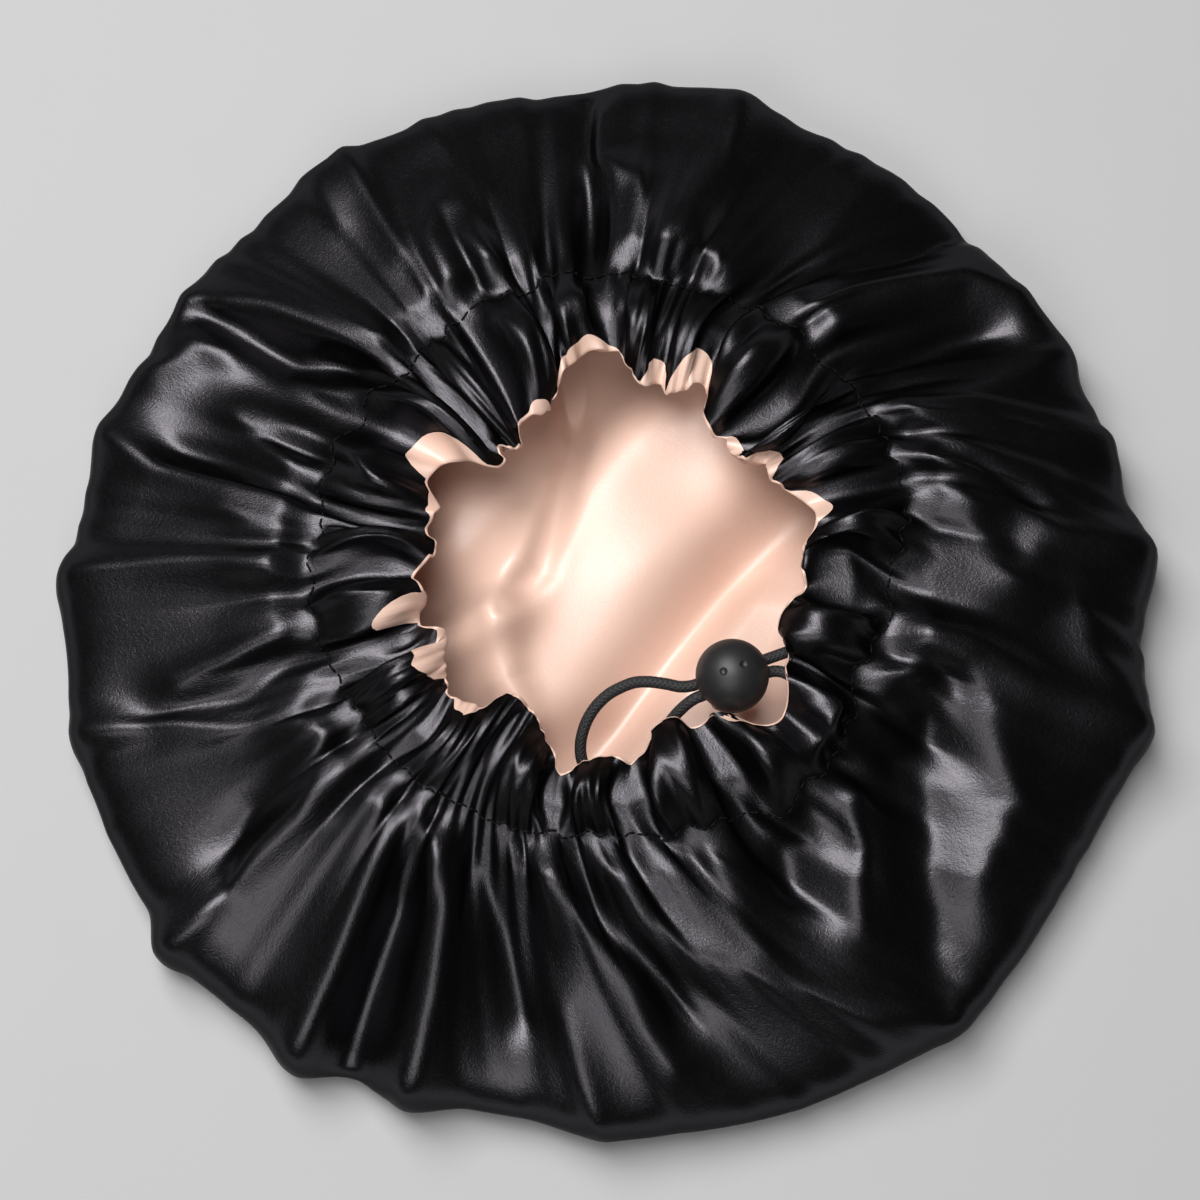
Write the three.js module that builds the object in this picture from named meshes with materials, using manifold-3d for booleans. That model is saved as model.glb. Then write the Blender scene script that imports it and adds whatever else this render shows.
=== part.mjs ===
// Double-layer satin hair bonnet with a drawcord and a ball cord lock.
// It lies crown down with its gathered mouth up. Millimetres, +Z up, origin at the
// middle of the box on the surface that it lies on.
import * as THREE from 'three';
import { mergeVertices } from 'three/addons/utils/BufferGeometryUtils.js';
import Module from 'manifold-3d';

const wasm = await Module();
wasm.setup();

// Driving sizes of the bonnet
const outlineRadius = 160;
const outlineLobeDepth = 1.2;
const satinThickness = 0.8;
const layerGapWidth = 0.4;
const hemRadius = 55;
const hemToCordWidth = 14;
const cordToSeamWidth = 13;
const mouthOffsetLength = 1.5;
const hemRiseHeight = 3.5;
const seamDropHeight = 2.5;

// Folds of the satin: half heights at the hem, on the channel, at the seam and on the crown
const hemFoldHeight = 2.8;
const channelFoldHeight = 3;
const seamFoldHeight = 3;
const shoulderFoldHeight = 4.5;
const sideFoldHeight = 3;
const rollFoldHeight = 2;
const liningSlackWidth = 3.6;

// A hump of slack lining that stands up under one side of the mouth
const humpHeight = 24;
const humpRadius = 66;
const humpWidth = 22;

// Drawcord, its channel and the sleeve that joins its ends
const cordDiameter = 3.4;
const cordHeight = 42.5;
const channelHalfHeight = 3.4;
const exitHalfHeight = 2.5;
const lowerBendRadius = 7;
const upperBendRadius = 12;
const sleeveLength = 16;
const sleeveWallThickness = 0.5;
const fitGapWidth = 0.3;

// Threads
const seamThreadDiameter = 0.6;
const seamThreadLiftHeight = 0.9;
const hemThreadDiameter = 0.4;

// Cord lock: a ball with two flat sides, a plunger and a spring
const lockInsetWidth = 5.7;
const ballRadius = 10.5;
const ballFootDepth = 9.5;
const ballDepth = 14;
const lockCordDropHeight = 3.5;
const flatHalfWidth = 7.8;
const flatTopHeight = 1;
const flatCornerRadius = 1.2;
const boreDiameter = 12.6;
const boreCeilingHeight = 7.5;
const boreChamferWidth = 0.6;
const slotClearanceWidth = 0.3;
const slotFlareWidth = 0.7;
const dimpleRadius = 1.5;
const dimpleSpanWidth = 6.6;
const dimpleDepth = 0.6;
const plungerTravelLength = 3.5;
const plungerCrownHeight = 2;
const plungerProudHeight = 4.1;
const plungerFilletRadius = 1.4;
const springSeatDepth = 0.8;
const springWireDiameter = 0.8;
const springDiameter = 8;
const springClosedPitch = 1.15;
const lockSlideLength = 3.5;
const loopMeetLength = 5;
const cutOverrunLength = 2;

// Angles in degrees, counterclockwise from +X
const lockDeg = 317.4;
const lockTurnDeg = 20;
const exitMiddleDeg = 332;
const exitHalfDeg = 12;
const exitFadeDeg = 6;
const humpMiddleDeg = 312;
const humpHalfDeg = 42;
const humpFadeDeg = 34;
const sleeveDeg = 150;
const fullTurnDeg = 360;

// Counts
const cordSides = 8;
const threadSides = 5;
const bendPointCount = 6;
const ringPointCount = 24;
const runStepCount = 34;
const loopStepCount = 40;
const sleeveStepCount = 6;
const sleeveSides = 16;
const ballSides = 36;
const ballRings = 9;
const dimpleSides = 16;
const cornerStepCount = 5;
const springTurnCount = 4;
const springClosedTurnCount = 1;
const springStepsPerTurn = 12;

// Heights of the cloth, as shares of the seam's height
const shoulderHeightShare = 0.94;
const sideHeightShare = 0.775;
const rollHeightShare = 0.59;
const outlineHeightShare = 0.375;
const bellyHeightShare = 0.11;

// Places between the seam, 0, and the outline, 1
const shoulderShare = 0.36;
const sideShare = 0.7;
const rollShare = 0.91;
const bellyShare = 0.95;
const flatShare = 0.88;
const liningFlatShare = 0.88;
const liningMiddleShare = 0.62;
const liningInnerShare = 0.38;
const hemThreadShare = 0.35;

// Folds from the casing seam to the outline: seam angle, outline angle, share of the fold height
const foldShares = [
  [4, -7, 0.6], [13, 0, 0.9], [22, 5, 1.5], [31, 15, 1.5], [41, 30, 0.6], [49, 36, 1.5], [57, 40, 0.6],
  [68, 58, 0.9], [80, 76, 1.6], [88, 88, 0.5], [97, 94, 1.1], [104, 103, 0.5], [110, 111, 1.2],
  [118, 116, 0.8], [124, 121, 0.6], [135, 142, 1.6], [145, 150, 0.5], [154, 155, 0.9], [163, 160, 1.3],
  [172, 168, 0.5], [181, 178, 1.3], [192, 188, 0.7], [203, 196, 1.4], [212, 207, 0.8], [219, 220, 1.5],
  [226, 230, 0.6], [232, 240, 1.5], [239, 250, 1.1], [248, 262, 0.7], [258, 276, 1.6], [268, 290, 0.8],
  [278, 301, 1.4], [289, 310, 0.5], [301, 317, 0.9], [313, 323, 0.6], [325, 330, 1], [337, 337, 0.8],
  [348, 344, 1.4],
];

// Radius shares at even angles, counterclockwise from +X
const outlineShares = [
  0.998, 0.979, 0.97, 0.975, 0.966, 0.987, 0.98, 0.983, 1.003, 0.996, 0.983, 0.978, 0.974, 0.972, 0.97, 0.956,
  0.976, 0.977, 0.998, 0.994, 1.005, 1.015, 1.04, 1.02, 1.029, 0.997, 0.98, 0.994, 0.998, 1.01, 1.018, 1.028,
  1.008, 0.998, 1.005, 0.997,
];
const hemShares = [
  1.02, 1.08, 1.01, 0.95, 1, 0.97, 1.08, 0.96, 0.88, 0.83, 0.97, 0.95, 0.95, 1.01, 1.02, 1.04, 0.9, 1.05,
  1.07, 1, 0.98, 1.13, 1.08, 1.01,
];
const seamShares = [0.99, 1.05, 1.06, 1.03, 1.02, 1.01, 0.98, 0.98, 0.97, 0.94, 1, 0.97];

// The free loop of the drawcord, a hand-laid route from the upper strand round to the lower one
const pullLoopRoute = [
  [22, -34.3, 42.3], [17.5, -33.4, 42], [13, -32.7, 41.5], [8.8, -32.7, 40.8], [4.9, -33.9, 39.9],
  [1.3, -35.7, 38.8], [-1.9, -38.4, 37.4], [-4.4, -41.7, 35.7], [-6.1, -45.6, 33.8], [-6.8, -49.7, 31.7],
  [-6.1, -53.8, 29.8], [-3.4, -57.4, 28.3], [1, -59.1, 27.7], [5.6, -58.2, 28.3], [9.5, -55.5, 30],
  [12.8, -51.9, 32.4], [15.6, -48, 35], [18.3, -44.2, 37.6], [21.3, -40.9, 40],
];

const rad = THREE.MathUtils.degToRad;
const mouthCentre = new THREE.Vector2(0, mouthOffsetLength);
const crownCentre = new THREE.Vector2(0, 0);
const cordRingRadius = hemRadius + hemToCordWidth;
const seamRadius = cordRingRadius + cordToSeamWidth;
const hemHeight = cordHeight + hemRiseHeight;
const seamHeight = cordHeight - seamDropHeight;
const outlineHeight = seamHeight * outlineHeightShare;
const cordRadius = cordDiameter / 2;
const strandHalfSpacing = (cordDiameter + fitGapWidth) / 2;
const lockHeight = cordHeight + lockCordDropHeight;
const lockAlong = new THREE.Vector2(Math.cos(rad(lockTurnDeg)), Math.sin(rad(lockTurnDeg)));
const lockAcross = new THREE.Vector2(-lockAlong.y, lockAlong.x);
const lockPlace = polar(mouthCentre, hemRadius - lockInsetWidth, lockDeg, lockHeight);

const satinBlack = { color: 0x17161a, roughness: 0.38, metalness: 0 };
const satinRose = { color: 0xe6c4b4, roughness: 0.34, metalness: 0 };
const threadBlack = { color: 0x101012, roughness: 0.7, metalness: 0 };
const cordBlack = { color: 0x131315, roughness: 0.75, metalness: 0 };
const plasticBlack = { color: 0x1a1a1b, roughness: 0.5, metalness: 0 };
const springSteel = { color: 0xb9bcc0, roughness: 0.3, metalness: 1 };

const bonnet = new THREE.Group();

function addPiece(name, geometry, look, place) {
  const mesh = new THREE.Mesh(geometry, new THREE.MeshStandardMaterial(look));
  mesh.name = name;
  (place ?? bonnet).add(mesh);
  return mesh;
}

function geometryFrom(points, faces) {
  const geometry = new THREE.BufferGeometry();
  const places = points.flatMap((point) => point.toArray());
  geometry.setAttribute('position', new THREE.Float32BufferAttribute(places, 3));
  geometry.setIndex(faces);
  return geometry;
}

// A value read from even shares round a full turn, eased between them
function roundShare(shares, deg) {
  const place = THREE.MathUtils.euclideanModulo(deg, fullTurnDeg) / fullTurnDeg * shares.length;
  const index = Math.floor(place);
  const ease = (1 - Math.cos((place - index) * Math.PI)) / 2;
  return THREE.MathUtils.lerp(shares[index % shares.length], shares[(index + 1) % shares.length], ease);
}

// 1 within half of the middle angle, falling to 0 over fade
function angleWindow(deg, middle, half, fade) {
  const turned = THREE.MathUtils.euclideanModulo(deg - middle + fullTurnDeg / 2, fullTurnDeg);
  return 1 - THREE.MathUtils.smoothstep(Math.abs(turned - fullTurnDeg / 2), half, half + fade);
}

function polar(centre, radius, deg, z) {
  return new THREE.Vector3(centre.x + radius * Math.cos(rad(deg)), centre.y + radius * Math.sin(rad(deg)), z);
}

// Columns of the cloth: one along each ridge and one along the valley after it
function clothColumns() {
  const first = foldShares[0];
  const ringed = [...foldShares, [first[0] + fullTurnDeg, first[1] + fullTurnDeg, first[2]]];
  return foldShares.flatMap(([seamDeg, outlineDeg, rise], i) => {
    const next = ringed[i + 1];
    const [valleySeam, valleyOutline, valleyRise] = next.map((value, k) => (value + foldShares[i][k]) / 2);
    return [
      { seamDeg, outlineDeg, rise },
      { seamDeg: valleySeam, outlineDeg: valleyOutline, rise: -valleyRise },
    ];
  });
}
const columns = clothColumns();
const ridgeColumns = columns.filter((column, i) => i % 2 === 0);

function exitOpen(column) {
  return angleWindow(column.seamDeg, exitMiddleDeg, exitHalfDeg, exitFadeDeg);
}

// Depth of each face of the cloth under the outermost one
const outerFace = { depth: 0, above: true, level: satinThickness };
const outerBack = { depth: satinThickness, above: true, level: 0 };
const liningBack = { depth: satinThickness + layerGapWidth, above: false, level: 0 };
const liningFace = { depth: 2 * satinThickness + layerGapWidth, above: false, level: -satinThickness };

function hemPoint(face, column) {
  const side = face.above ? 1 : -1;
  const closed = hemHeight + hemFoldHeight * column.rise - face.depth;
  const open = cordHeight + side * exitHalfHeight + face.level;
  const z = THREE.MathUtils.lerp(closed, open, exitOpen(column));
  return polar(mouthCentre, hemRadius * roundShare(hemShares, column.seamDeg), column.seamDeg, z);
}

function channelPoint(face, column) {
  const side = face.above ? 1 : -1;
  const fold = channelFoldHeight * Math.max(side * column.rise, 0) * (1 - exitOpen(column));
  const z = cordHeight + side * (channelHalfHeight + fold) + face.level;
  return polar(mouthCentre, cordRingRadius, column.seamDeg, z);
}

function outlineAt(column) {
  return outlineRadius * roundShare(outlineShares, column.outlineDeg) + outlineLobeDepth * column.rise;
}

// A point on the crown, share 0 at the seam and 1 at the outline
function crownPoint(column, share, heightShare, fold, face) {
  const deg = THREE.MathUtils.lerp(column.seamDeg, column.outlineDeg, share);
  const seam = seamRadius * roundShare(seamShares, column.seamDeg);
  const centre = mouthCentre.clone().multiplyScalar(1 - share);
  const z = seamHeight * heightShare + fold * column.rise - face.depth;
  return polar(centre, THREE.MathUtils.lerp(seam, outlineAt(column), share), deg, z);
}

// A point on the lower half of the crown, share of the outline radius
function lowerPoint(column, share, inset, z) {
  return polar(crownCentre, outlineAt(column) * share - inset, column.outlineDeg, z);
}

// The rows from the hem to the side of the crown that both layers share
function upperRows(face) {
  return [
    columns.map((column) => hemPoint(face, column)),
    columns.map((column) => channelPoint(face, column)),
    columns.map((column) => crownPoint(column, 0, 1, seamFoldHeight, face)),
    columns.map((column) => crownPoint(column, shoulderShare, shoulderHeightShare, shoulderFoldHeight, face)),
    columns.map((column) => crownPoint(column, sideShare, sideHeightShare, sideFoldHeight, face)),
    columns.map((column) => crownPoint(column, rollShare, rollHeightShare, rollFoldHeight, face)),
  ];
}

function outerRows(face) {
  return [
    ...upperRows(face),
    columns.map((column) => lowerPoint(column, 1, face.depth, outlineHeight)),
    ridgeColumns.map((column) => {
      return lowerPoint(column, bellyShare, face.depth, seamHeight * bellyHeightShare + face.depth);
    }),
    ridgeColumns.map((column) => lowerPoint(column, flatShare, 0, face.depth)),
    [new THREE.Vector3(0, 0, face.depth)],
  ];
}

function humpAt(radius, deg) {
  const across = Math.exp(-(((radius - humpRadius) / humpWidth) ** 2));
  return humpHeight * across * angleWindow(deg, humpMiddleDeg, humpHalfDeg, humpFadeDeg);
}

function liningRows(face) {
  const floorRow = (share) => ridgeColumns.map((column) => {
    const point = lowerPoint(column, share, 0, face.depth);
    point.z += humpAt(Math.hypot(point.x, point.y), column.outlineDeg);
    return point;
  });
  return [
    ...upperRows(face),
    ridgeColumns.map((column) => lowerPoint(column, 1, face.depth + liningSlackWidth, outlineHeight)),
    floorRow(liningFlatShare),
    floorRow(liningMiddleShare),
    floorRow(liningInnerShare),
    [new THREE.Vector3(0, 0, face.depth)],
  ];
}

// Faces between rows of points; a row may have half the points of the one before, or be one point
function rowFaces(rows, offset, flipped) {
  const faces = [];
  const put = (a, b, c) => faces.push(...(flipped ? [a, c, b] : [a, b, c]));
  let start = offset;
  rows.slice(0, -1).forEach((row, r) => {
    const below = rows[r + 1];
    const next = start + row.length;
    for (let i = 0; i < row.length; i += 1) {
      const here = start + i;
      const after = start + (i + 1) % row.length;
      if (below.length === 1) {
        put(here, next, after);
      } else if (below.length === row.length) {
        put(here, next + i, after);
        put(after, next + i, next + (i + 1) % row.length);
      } else if (i % 2 === 0) {
        put(here, next + i / 2, after);
      } else {
        const far = next + ((i + 1) / 2) % below.length;
        put(here, next + (i - 1) / 2, far);
        put(here, far, after);
      }
    }
    start = next;
  });
  return faces;
}

// A closed sheet between two faces that share one open edge, the first row of each
function sheetGeometry(outside, inside) {
  const outsidePoints = outside.flat();
  const insideStart = outsidePoints.length;
  const edge = outside[0].map((point, i) => {
    const after = (i + 1) % outside[0].length;
    return [i, after, insideStart + i, after, insideStart + after, insideStart + i];
  });
  const faces = [...rowFaces(outside, 0, false), ...edge.flat(), ...rowFaces(inside, insideStart, true)];
  return geometryFrom([...outsidePoints, ...inside.flat()], faces);
}

addPiece('outer_satin', sheetGeometry(outerRows(outerFace), outerRows(outerBack)), satinBlack);
addPiece('lining_satin', sheetGeometry(liningRows(liningBack), liningRows(liningFace)), satinRose);

// A thread or sleeve along points: rings of sides across the path, closed on itself or capped
function tubeGeometry(path, radius, sides, closed) {
  const points = path.flatMap((point, i) => {
    const before = path[closed ? (i + path.length - 1) % path.length : Math.max(i - 1, 0)];
    const after = path[closed ? (i + 1) % path.length : Math.min(i + 1, path.length - 1)];
    const tangent = after.clone().sub(before).normalize();
    const across = new THREE.Vector3(0, 0, 1).cross(tangent).normalize();
    const up = tangent.clone().cross(across);
    return Array.from({ length: sides }, (unused, s) => {
      const turn = s / sides * 2 * Math.PI;
      return point.clone()
        .addScaledVector(across, radius * Math.cos(turn))
        .addScaledVector(up, radius * Math.sin(turn));
    });
  });
  const faces = [];
  const spans = closed ? path.length : path.length - 1;
  for (let i = 0; i < spans; i += 1) {
    const here = i * sides;
    const next = ((i + 1) % path.length) * sides;
    for (let s = 0; s < sides; s += 1) {
      const t = (s + 1) % sides;
      faces.push(here + s, here + t, next + s, here + t, next + t, next + s);
    }
  }
  if (!closed) {
    const last = (path.length - 1) * sides;
    for (let s = 1; s < sides - 1; s += 1) faces.push(0, s + 1, s, last, last + s, last + s + 1);
  }
  return geometryFrom(points, faces);
}

// The line of stitching lies in the furrow of the casing seam
const seamThread = columns.map((column) => {
  const point = crownPoint(column, 0, 1, seamFoldHeight, outerFace);
  point.z += seamThreadLiftHeight;
  return point;
});
const stitching = tubeGeometry(seamThread, seamThreadDiameter / 2, threadSides, true);
addPiece('casing_stitching', stitching, threadBlack);

// The hidden thread that joins both layers at the hem stops at each side of the cord's exit
const exitIndex = columns.findIndex((column) => exitOpen(column) > 0);
const exitCount = columns.filter((column) => exitOpen(column) > 0).length;
const hemThread = Array.from({ length: columns.length - exitCount }, (unused, i) => {
  const column = columns[(exitIndex + exitCount + i) % columns.length];
  const upper = hemPoint(outerBack, column).lerp(channelPoint(outerBack, column), hemThreadShare);
  const lower = hemPoint(liningBack, column).lerp(channelPoint(liningBack, column), hemThreadShare);
  return upper.lerp(lower, 0.5);
});
addPiece('hem_seam_thread', tubeGeometry(hemThread, hemThreadDiameter / 2, threadSides, false), threadBlack);

// A place on a strand in the lock, side 1 the upper strand and -1 the lower, along from the ball's axis
function strandPlace(side, along) {
  return new THREE.Vector2(lockPlace.x, lockPlace.y)
    .addScaledVector(lockAcross, side * strandHalfSpacing)
    .addScaledVector(lockAlong, along);
}

// A run of the drawcord: straight through the lock, one bend, then round the channel to the sleeve
function cordRun(side, bendRadius) {
  const toMouth = strandPlace(side, 0).addScaledVector(lockAcross, side * bendRadius).sub(mouthCentre);
  const half = toMouth.dot(lockAlong);
  const bendStart = -half + Math.sqrt(half ** 2 - toMouth.lengthSq() + (cordRingRadius - bendRadius) ** 2);
  const bendCentre = toMouth.clone().addScaledVector(lockAlong, bendStart).add(mouthCentre);
  const joinAngle = Math.atan2(bendCentre.y - mouthCentre.y, bendCentre.x - mouthCentre.x);
  const bendFrom = rad(lockTurnDeg) - side * Math.PI / 2;
  const bendTurn = side * THREE.MathUtils.euclideanModulo(side * (joinAngle - bendFrom), 2 * Math.PI);
  const sleeveHalf = fitGapWidth / cordRingRadius;
  const ringTurn = side * THREE.MathUtils.euclideanModulo(side * (rad(sleeveDeg) - joinAngle), 2 * Math.PI);
  const points = [-loopMeetLength, 0, bendStart - bendRadius / 2].map((along) => strandPlace(side, along));
  const addArc = (centre, radius, from, turn, count) => {
    for (let i = 0; i <= count; i += 1) {
      const angle = from + turn * i / count;
      points.push(centre.clone().add(new THREE.Vector2(radius * Math.cos(angle), radius * Math.sin(angle))));
    }
  };
  addArc(bendCentre, bendRadius, bendFrom, bendTurn, bendPointCount);
  points.pop();
  addArc(mouthCentre, cordRingRadius, joinAngle, ringTurn - side * sleeveHalf, ringPointCount);
  return points.map((point) => new THREE.Vector3(point.x, point.y, cordHeight));
}

function cordGeometry(points, steps) {
  const section = new THREE.Shape(Array.from({ length: cordSides }, (unused, i) => {
    const turn = i / cordSides * 2 * Math.PI;
    return new THREE.Vector2(cordRadius * Math.cos(turn), cordRadius * Math.sin(turn));
  }));
  const extrudePath = new THREE.CatmullRomCurve3(points, false, 'centripetal');
  return new THREE.ExtrudeGeometry(section, { steps, extrudePath, bevelEnabled: false });
}

addPiece('drawcord_upper_run', cordGeometry(cordRun(1, upperBendRadius), runStepCount), cordBlack);
addPiece('drawcord_lower_run', cordGeometry(cordRun(-1, lowerBendRadius), runStepCount), cordBlack);

// The free loop leaves the lock straight, so that the lock can slide along it
const straightEnd = flatHalfWidth + lockSlideLength;
const loopStart = loopMeetLength + fitGapWidth;
const loopEnds = [1, -1].map((side) => [loopStart, (loopMeetLength + straightEnd) / 2, straightEnd]
  .map((along) => strandPlace(side, -along))
  .map((place) => new THREE.Vector3(place.x, place.y, cordHeight)));
const loopPoints = [
  ...loopEnds[0],
  ...pullLoopRoute.map(([x, y, z]) => new THREE.Vector3(x, y, z)),
  ...loopEnds[1].reverse(),
];
addPiece('pull_loop', cordGeometry(loopPoints, loopStepCount), cordBlack);

// The sleeve that holds both ends of the cord, bent to the ring that the cord follows
function sleeveGeometry() {
  const inner = cordRadius + fitGapWidth;
  const halfTurn = sleeveLength / 2 / cordRingRadius;
  const ring = (i, radius) => {
    const angle = rad(sleeveDeg) + halfTurn * (2 * i / sleeveStepCount - 1);
    const outward = new THREE.Vector3(Math.cos(angle), Math.sin(angle), 0);
    const centre = polar(mouthCentre, cordRingRadius, THREE.MathUtils.radToDeg(angle), cordHeight);
    return Array.from({ length: sleeveSides }, (unused, s) => {
      const turn = s / sleeveSides * 2 * Math.PI;
      const point = centre.clone().addScaledVector(outward, radius * Math.cos(turn));
      point.z += radius * Math.sin(turn);
      return point;
    });
  };
  const steps = Array.from({ length: sleeveStepCount + 1 }, (unused, i) => i);
  const rows = [
    ...steps.map((i) => ring(i, inner + sleeveWallThickness)),
    ...steps.reverse().map((i) => ring(i, inner)),
  ];
  const closing = [...rows, rows[0]];
  const faces = rowFaces(closing, 0, false).map((index) => index % (rows.length * sleeveSides));
  return geometryFrom(rows.flat(), faces);
}
addPiece('cord_joint_sleeve', sleeveGeometry(), plasticBlack);

// Solids of the lock are cut with manifold-3d
function toSolid(geometry) {
  const bare = geometry.clone();
  bare.deleteAttribute('normal');
  bare.deleteAttribute('uv');
  const merged = mergeVertices(bare);
  return new wasm.Manifold(new wasm.Mesh({
    numProp: 3,
    vertProperties: new Float32Array(merged.attributes.position.array),
    triVerts: new Uint32Array(merged.index.array),
  }));
}

function fromSolid(solid) {
  const mesh = solid.getMesh();
  const geometry = new THREE.BufferGeometry();
  geometry.setAttribute('position', new THREE.BufferAttribute(new Float32Array(mesh.vertProperties), 3));
  geometry.setIndex(new THREE.BufferAttribute(new Uint32Array(mesh.triVerts), 1));
  return geometry;
}

// A turned solid from a profile of radius and height, about +Z
function turned(profile) {
  const points = profile.map(([r, z]) => new THREE.Vector2(r, z));
  return new THREE.LatheGeometry(points, ballSides).rotateX(Math.PI / 2);
}

// Points of a quarter or part of a round, from one angle to another
function arc(centreR, centreZ, radius, fromDeg, toDeg, count) {
  return Array.from({ length: count + 1 }, (unused, i) => {
    const angle = rad(THREE.MathUtils.lerp(fromDeg, toDeg, i / count));
    return [centreR + radius * Math.cos(angle), centreZ + radius * Math.sin(angle)];
  });
}

// A slot with round ends, as wide as both strands, along the cords from one half length to the other
function slotGeometry(halfLength, slotFloor, slotRoof, grow) {
  const bottom = slotFloor - grow;
  const top = slotRoof + grow;
  const corner = cordRadius + slotClearanceWidth + grow;
  const straight = strandHalfSpacing;
  const slot = new THREE.Shape();
  slot.moveTo(-straight, bottom);
  slot.absarc(straight, bottom + corner, corner, -Math.PI / 2, 0, false);
  slot.absarc(straight, top - corner, corner, 0, Math.PI / 2, false);
  slot.absarc(-straight, top - corner, corner, Math.PI / 2, Math.PI, false);
  slot.absarc(-straight, bottom + corner, corner, Math.PI, 3 * Math.PI / 2, false);
  const extrusion = { depth: 2 * halfLength, bevelEnabled: false, curveSegments: cornerStepCount };
  const geometry = new THREE.ExtrudeGeometry(slot, extrusion);
  return geometry.translate(0, 0, -halfLength).rotateX(Math.PI / 2).rotateZ(Math.PI / 2);
}

const slotBottom = -lockCordDropHeight - cordRadius - slotClearanceWidth;
const slotTop = -lockCordDropHeight + cordRadius + slotClearanceWidth;
const boreRadius = boreDiameter / 2;

// The ball: a half round above, a longer half oval below, open at its foot for the plunger
function ballGeometry() {
  const levels = Array.from({ length: ballRings + 1 }, (unused, i) => i / ballRings);
  const lower = levels.map((share) => -ballFootDepth * (1 - share));
  return turned([
    [0, boreCeilingHeight],
    [boreRadius, boreCeilingHeight],
    [boreRadius, boreChamferWidth - ballFootDepth],
    [boreRadius + boreChamferWidth, -ballFootDepth],
    ...lower.map((z) => [ballRadius * Math.sqrt(1 - (z / ballDepth) ** 2), z]),
    ...arc(0, 0, ballRadius, 0, 90, ballRings).slice(1, -1),
    [0, ballRadius],
  ]);
}

// The space beside one flat side, with a round inner corner under the dome
function flatCutGeometry(side) {
  const cut = new THREE.Shape();
  const outer = ballRadius + cutOverrunLength;
  const corner = flatHalfWidth + flatCornerRadius;
  cut.moveTo(flatHalfWidth, -ballFootDepth - cutOverrunLength);
  cut.lineTo(outer, -ballFootDepth - cutOverrunLength);
  cut.lineTo(outer, flatTopHeight);
  cut.lineTo(corner, flatTopHeight);
  cut.absarc(corner, flatTopHeight - flatCornerRadius, flatCornerRadius, Math.PI / 2, Math.PI, false);
  const extrusion = { depth: 2 * outer, bevelEnabled: false, curveSegments: cornerStepCount };
  const geometry = new THREE.ExtrudeGeometry(cut, extrusion);
  geometry.translate(0, 0, -outer).rotateX(Math.PI / 2);
  return side > 0 ? geometry : geometry.rotateZ(Math.PI);
}

function lockBodyGeometry() {
  let body = toSolid(ballGeometry());
  const reach = dimpleSpanWidth / 2;
  const dimpleLevel = Math.sqrt(ballRadius ** 2 - reach ** 2) + dimpleRadius - dimpleDepth;
  for (const side of [1, -1]) {
    body = body.subtract(toSolid(flatCutGeometry(side)));
    const flare = slotGeometry(slotFlareWidth, slotBottom, slotTop, slotFlareWidth);
    body = body.subtract(toSolid(flare.translate(side * flatHalfWidth, 0, 0)));
    const dimple = new THREE.SphereGeometry(dimpleRadius, dimpleSides, dimpleSides / 2);
    body = body.subtract(toSolid(dimple.translate(side * reach, 0, dimpleLevel)));
  }
  body = body.subtract(toSolid(slotGeometry(ballRadius + cutOverrunLength, slotBottom, slotTop, 0)));
  return fromSolid(body);
}

// The plunger at rest: its slot holds the cords under its crown, with room below for its travel
const plungerRadius = boreRadius - fitGapWidth;
const plungerTop = slotTop + plungerCrownHeight;
const plungerFoot = -ballFootDepth - plungerProudHeight;

function plungerGeometry() {
  const seatRadius = (springDiameter + fitGapWidth) / 2;
  const filletLevel = plungerFoot + plungerFilletRadius;
  const filletCentre = plungerRadius - plungerFilletRadius;
  const solid = toSolid(turned([
    [0, plungerFoot],
    [filletCentre, plungerFoot],
    ...arc(filletCentre, filletLevel, plungerFilletRadius, -90, 0, cornerStepCount).slice(1),
    [plungerRadius, plungerTop],
    [seatRadius, plungerTop],
    [seatRadius, plungerTop - springSeatDepth],
    [0, plungerTop - springSeatDepth],
  ]));
  const slot = slotGeometry(boreRadius + cutOverrunLength, slotBottom - plungerTravelLength, slotTop, 0);
  return fromSolid(solid.subtract(toSolid(slot)));
}

// A compression spring with closed end turns, from the seat in the plunger to the top of the bore
function springGeometry() {
  const bottom = plungerTop - springSeatDepth + fitGapWidth / 2 + springWireDiameter / 2;
  const top = boreCeilingHeight - fitGapWidth / 2 - springWireDiameter / 2;
  const closedRise = springClosedPitch * springClosedTurnCount;
  const radius = (springDiameter - springWireDiameter) / 2;
  const openRise = top - bottom - 2 * closedRise;
  const turnCount = springTurnCount + 2 * springClosedTurnCount;
  const path = Array.from({ length: turnCount * springStepsPerTurn + 1 }, (unused, i) => {
    const turn = i / springStepsPerTurn;
    const open = THREE.MathUtils.clamp((turn - springClosedTurnCount) / springTurnCount, 0, 1);
    const lastTurns = Math.max(turn - turnCount + springClosedTurnCount, 0);
    const closed = Math.min(turn, springClosedTurnCount) + lastTurns;
    const angle = turn * 2 * Math.PI;
    const z = bottom + closed * springClosedPitch + open * openRise;
    return new THREE.Vector3(radius * Math.cos(angle), radius * Math.sin(angle), z);
  });
  return tubeGeometry(path, springWireDiameter / 2, threadSides, false);
}

const lock = new THREE.Group();
lock.position.copy(lockPlace);
lock.rotation.z = rad(lockTurnDeg);
bonnet.add(lock);
addPiece('lock_body', lockBodyGeometry(), plasticBlack, lock);
addPiece('lock_plunger', plungerGeometry(), plasticBlack, lock);
addPiece('lock_spring', springGeometry(), springSteel, lock);

export default bonnet;
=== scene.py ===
import math

import bpy
import numpy as np
from mathutils import Matrix, Vector


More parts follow.
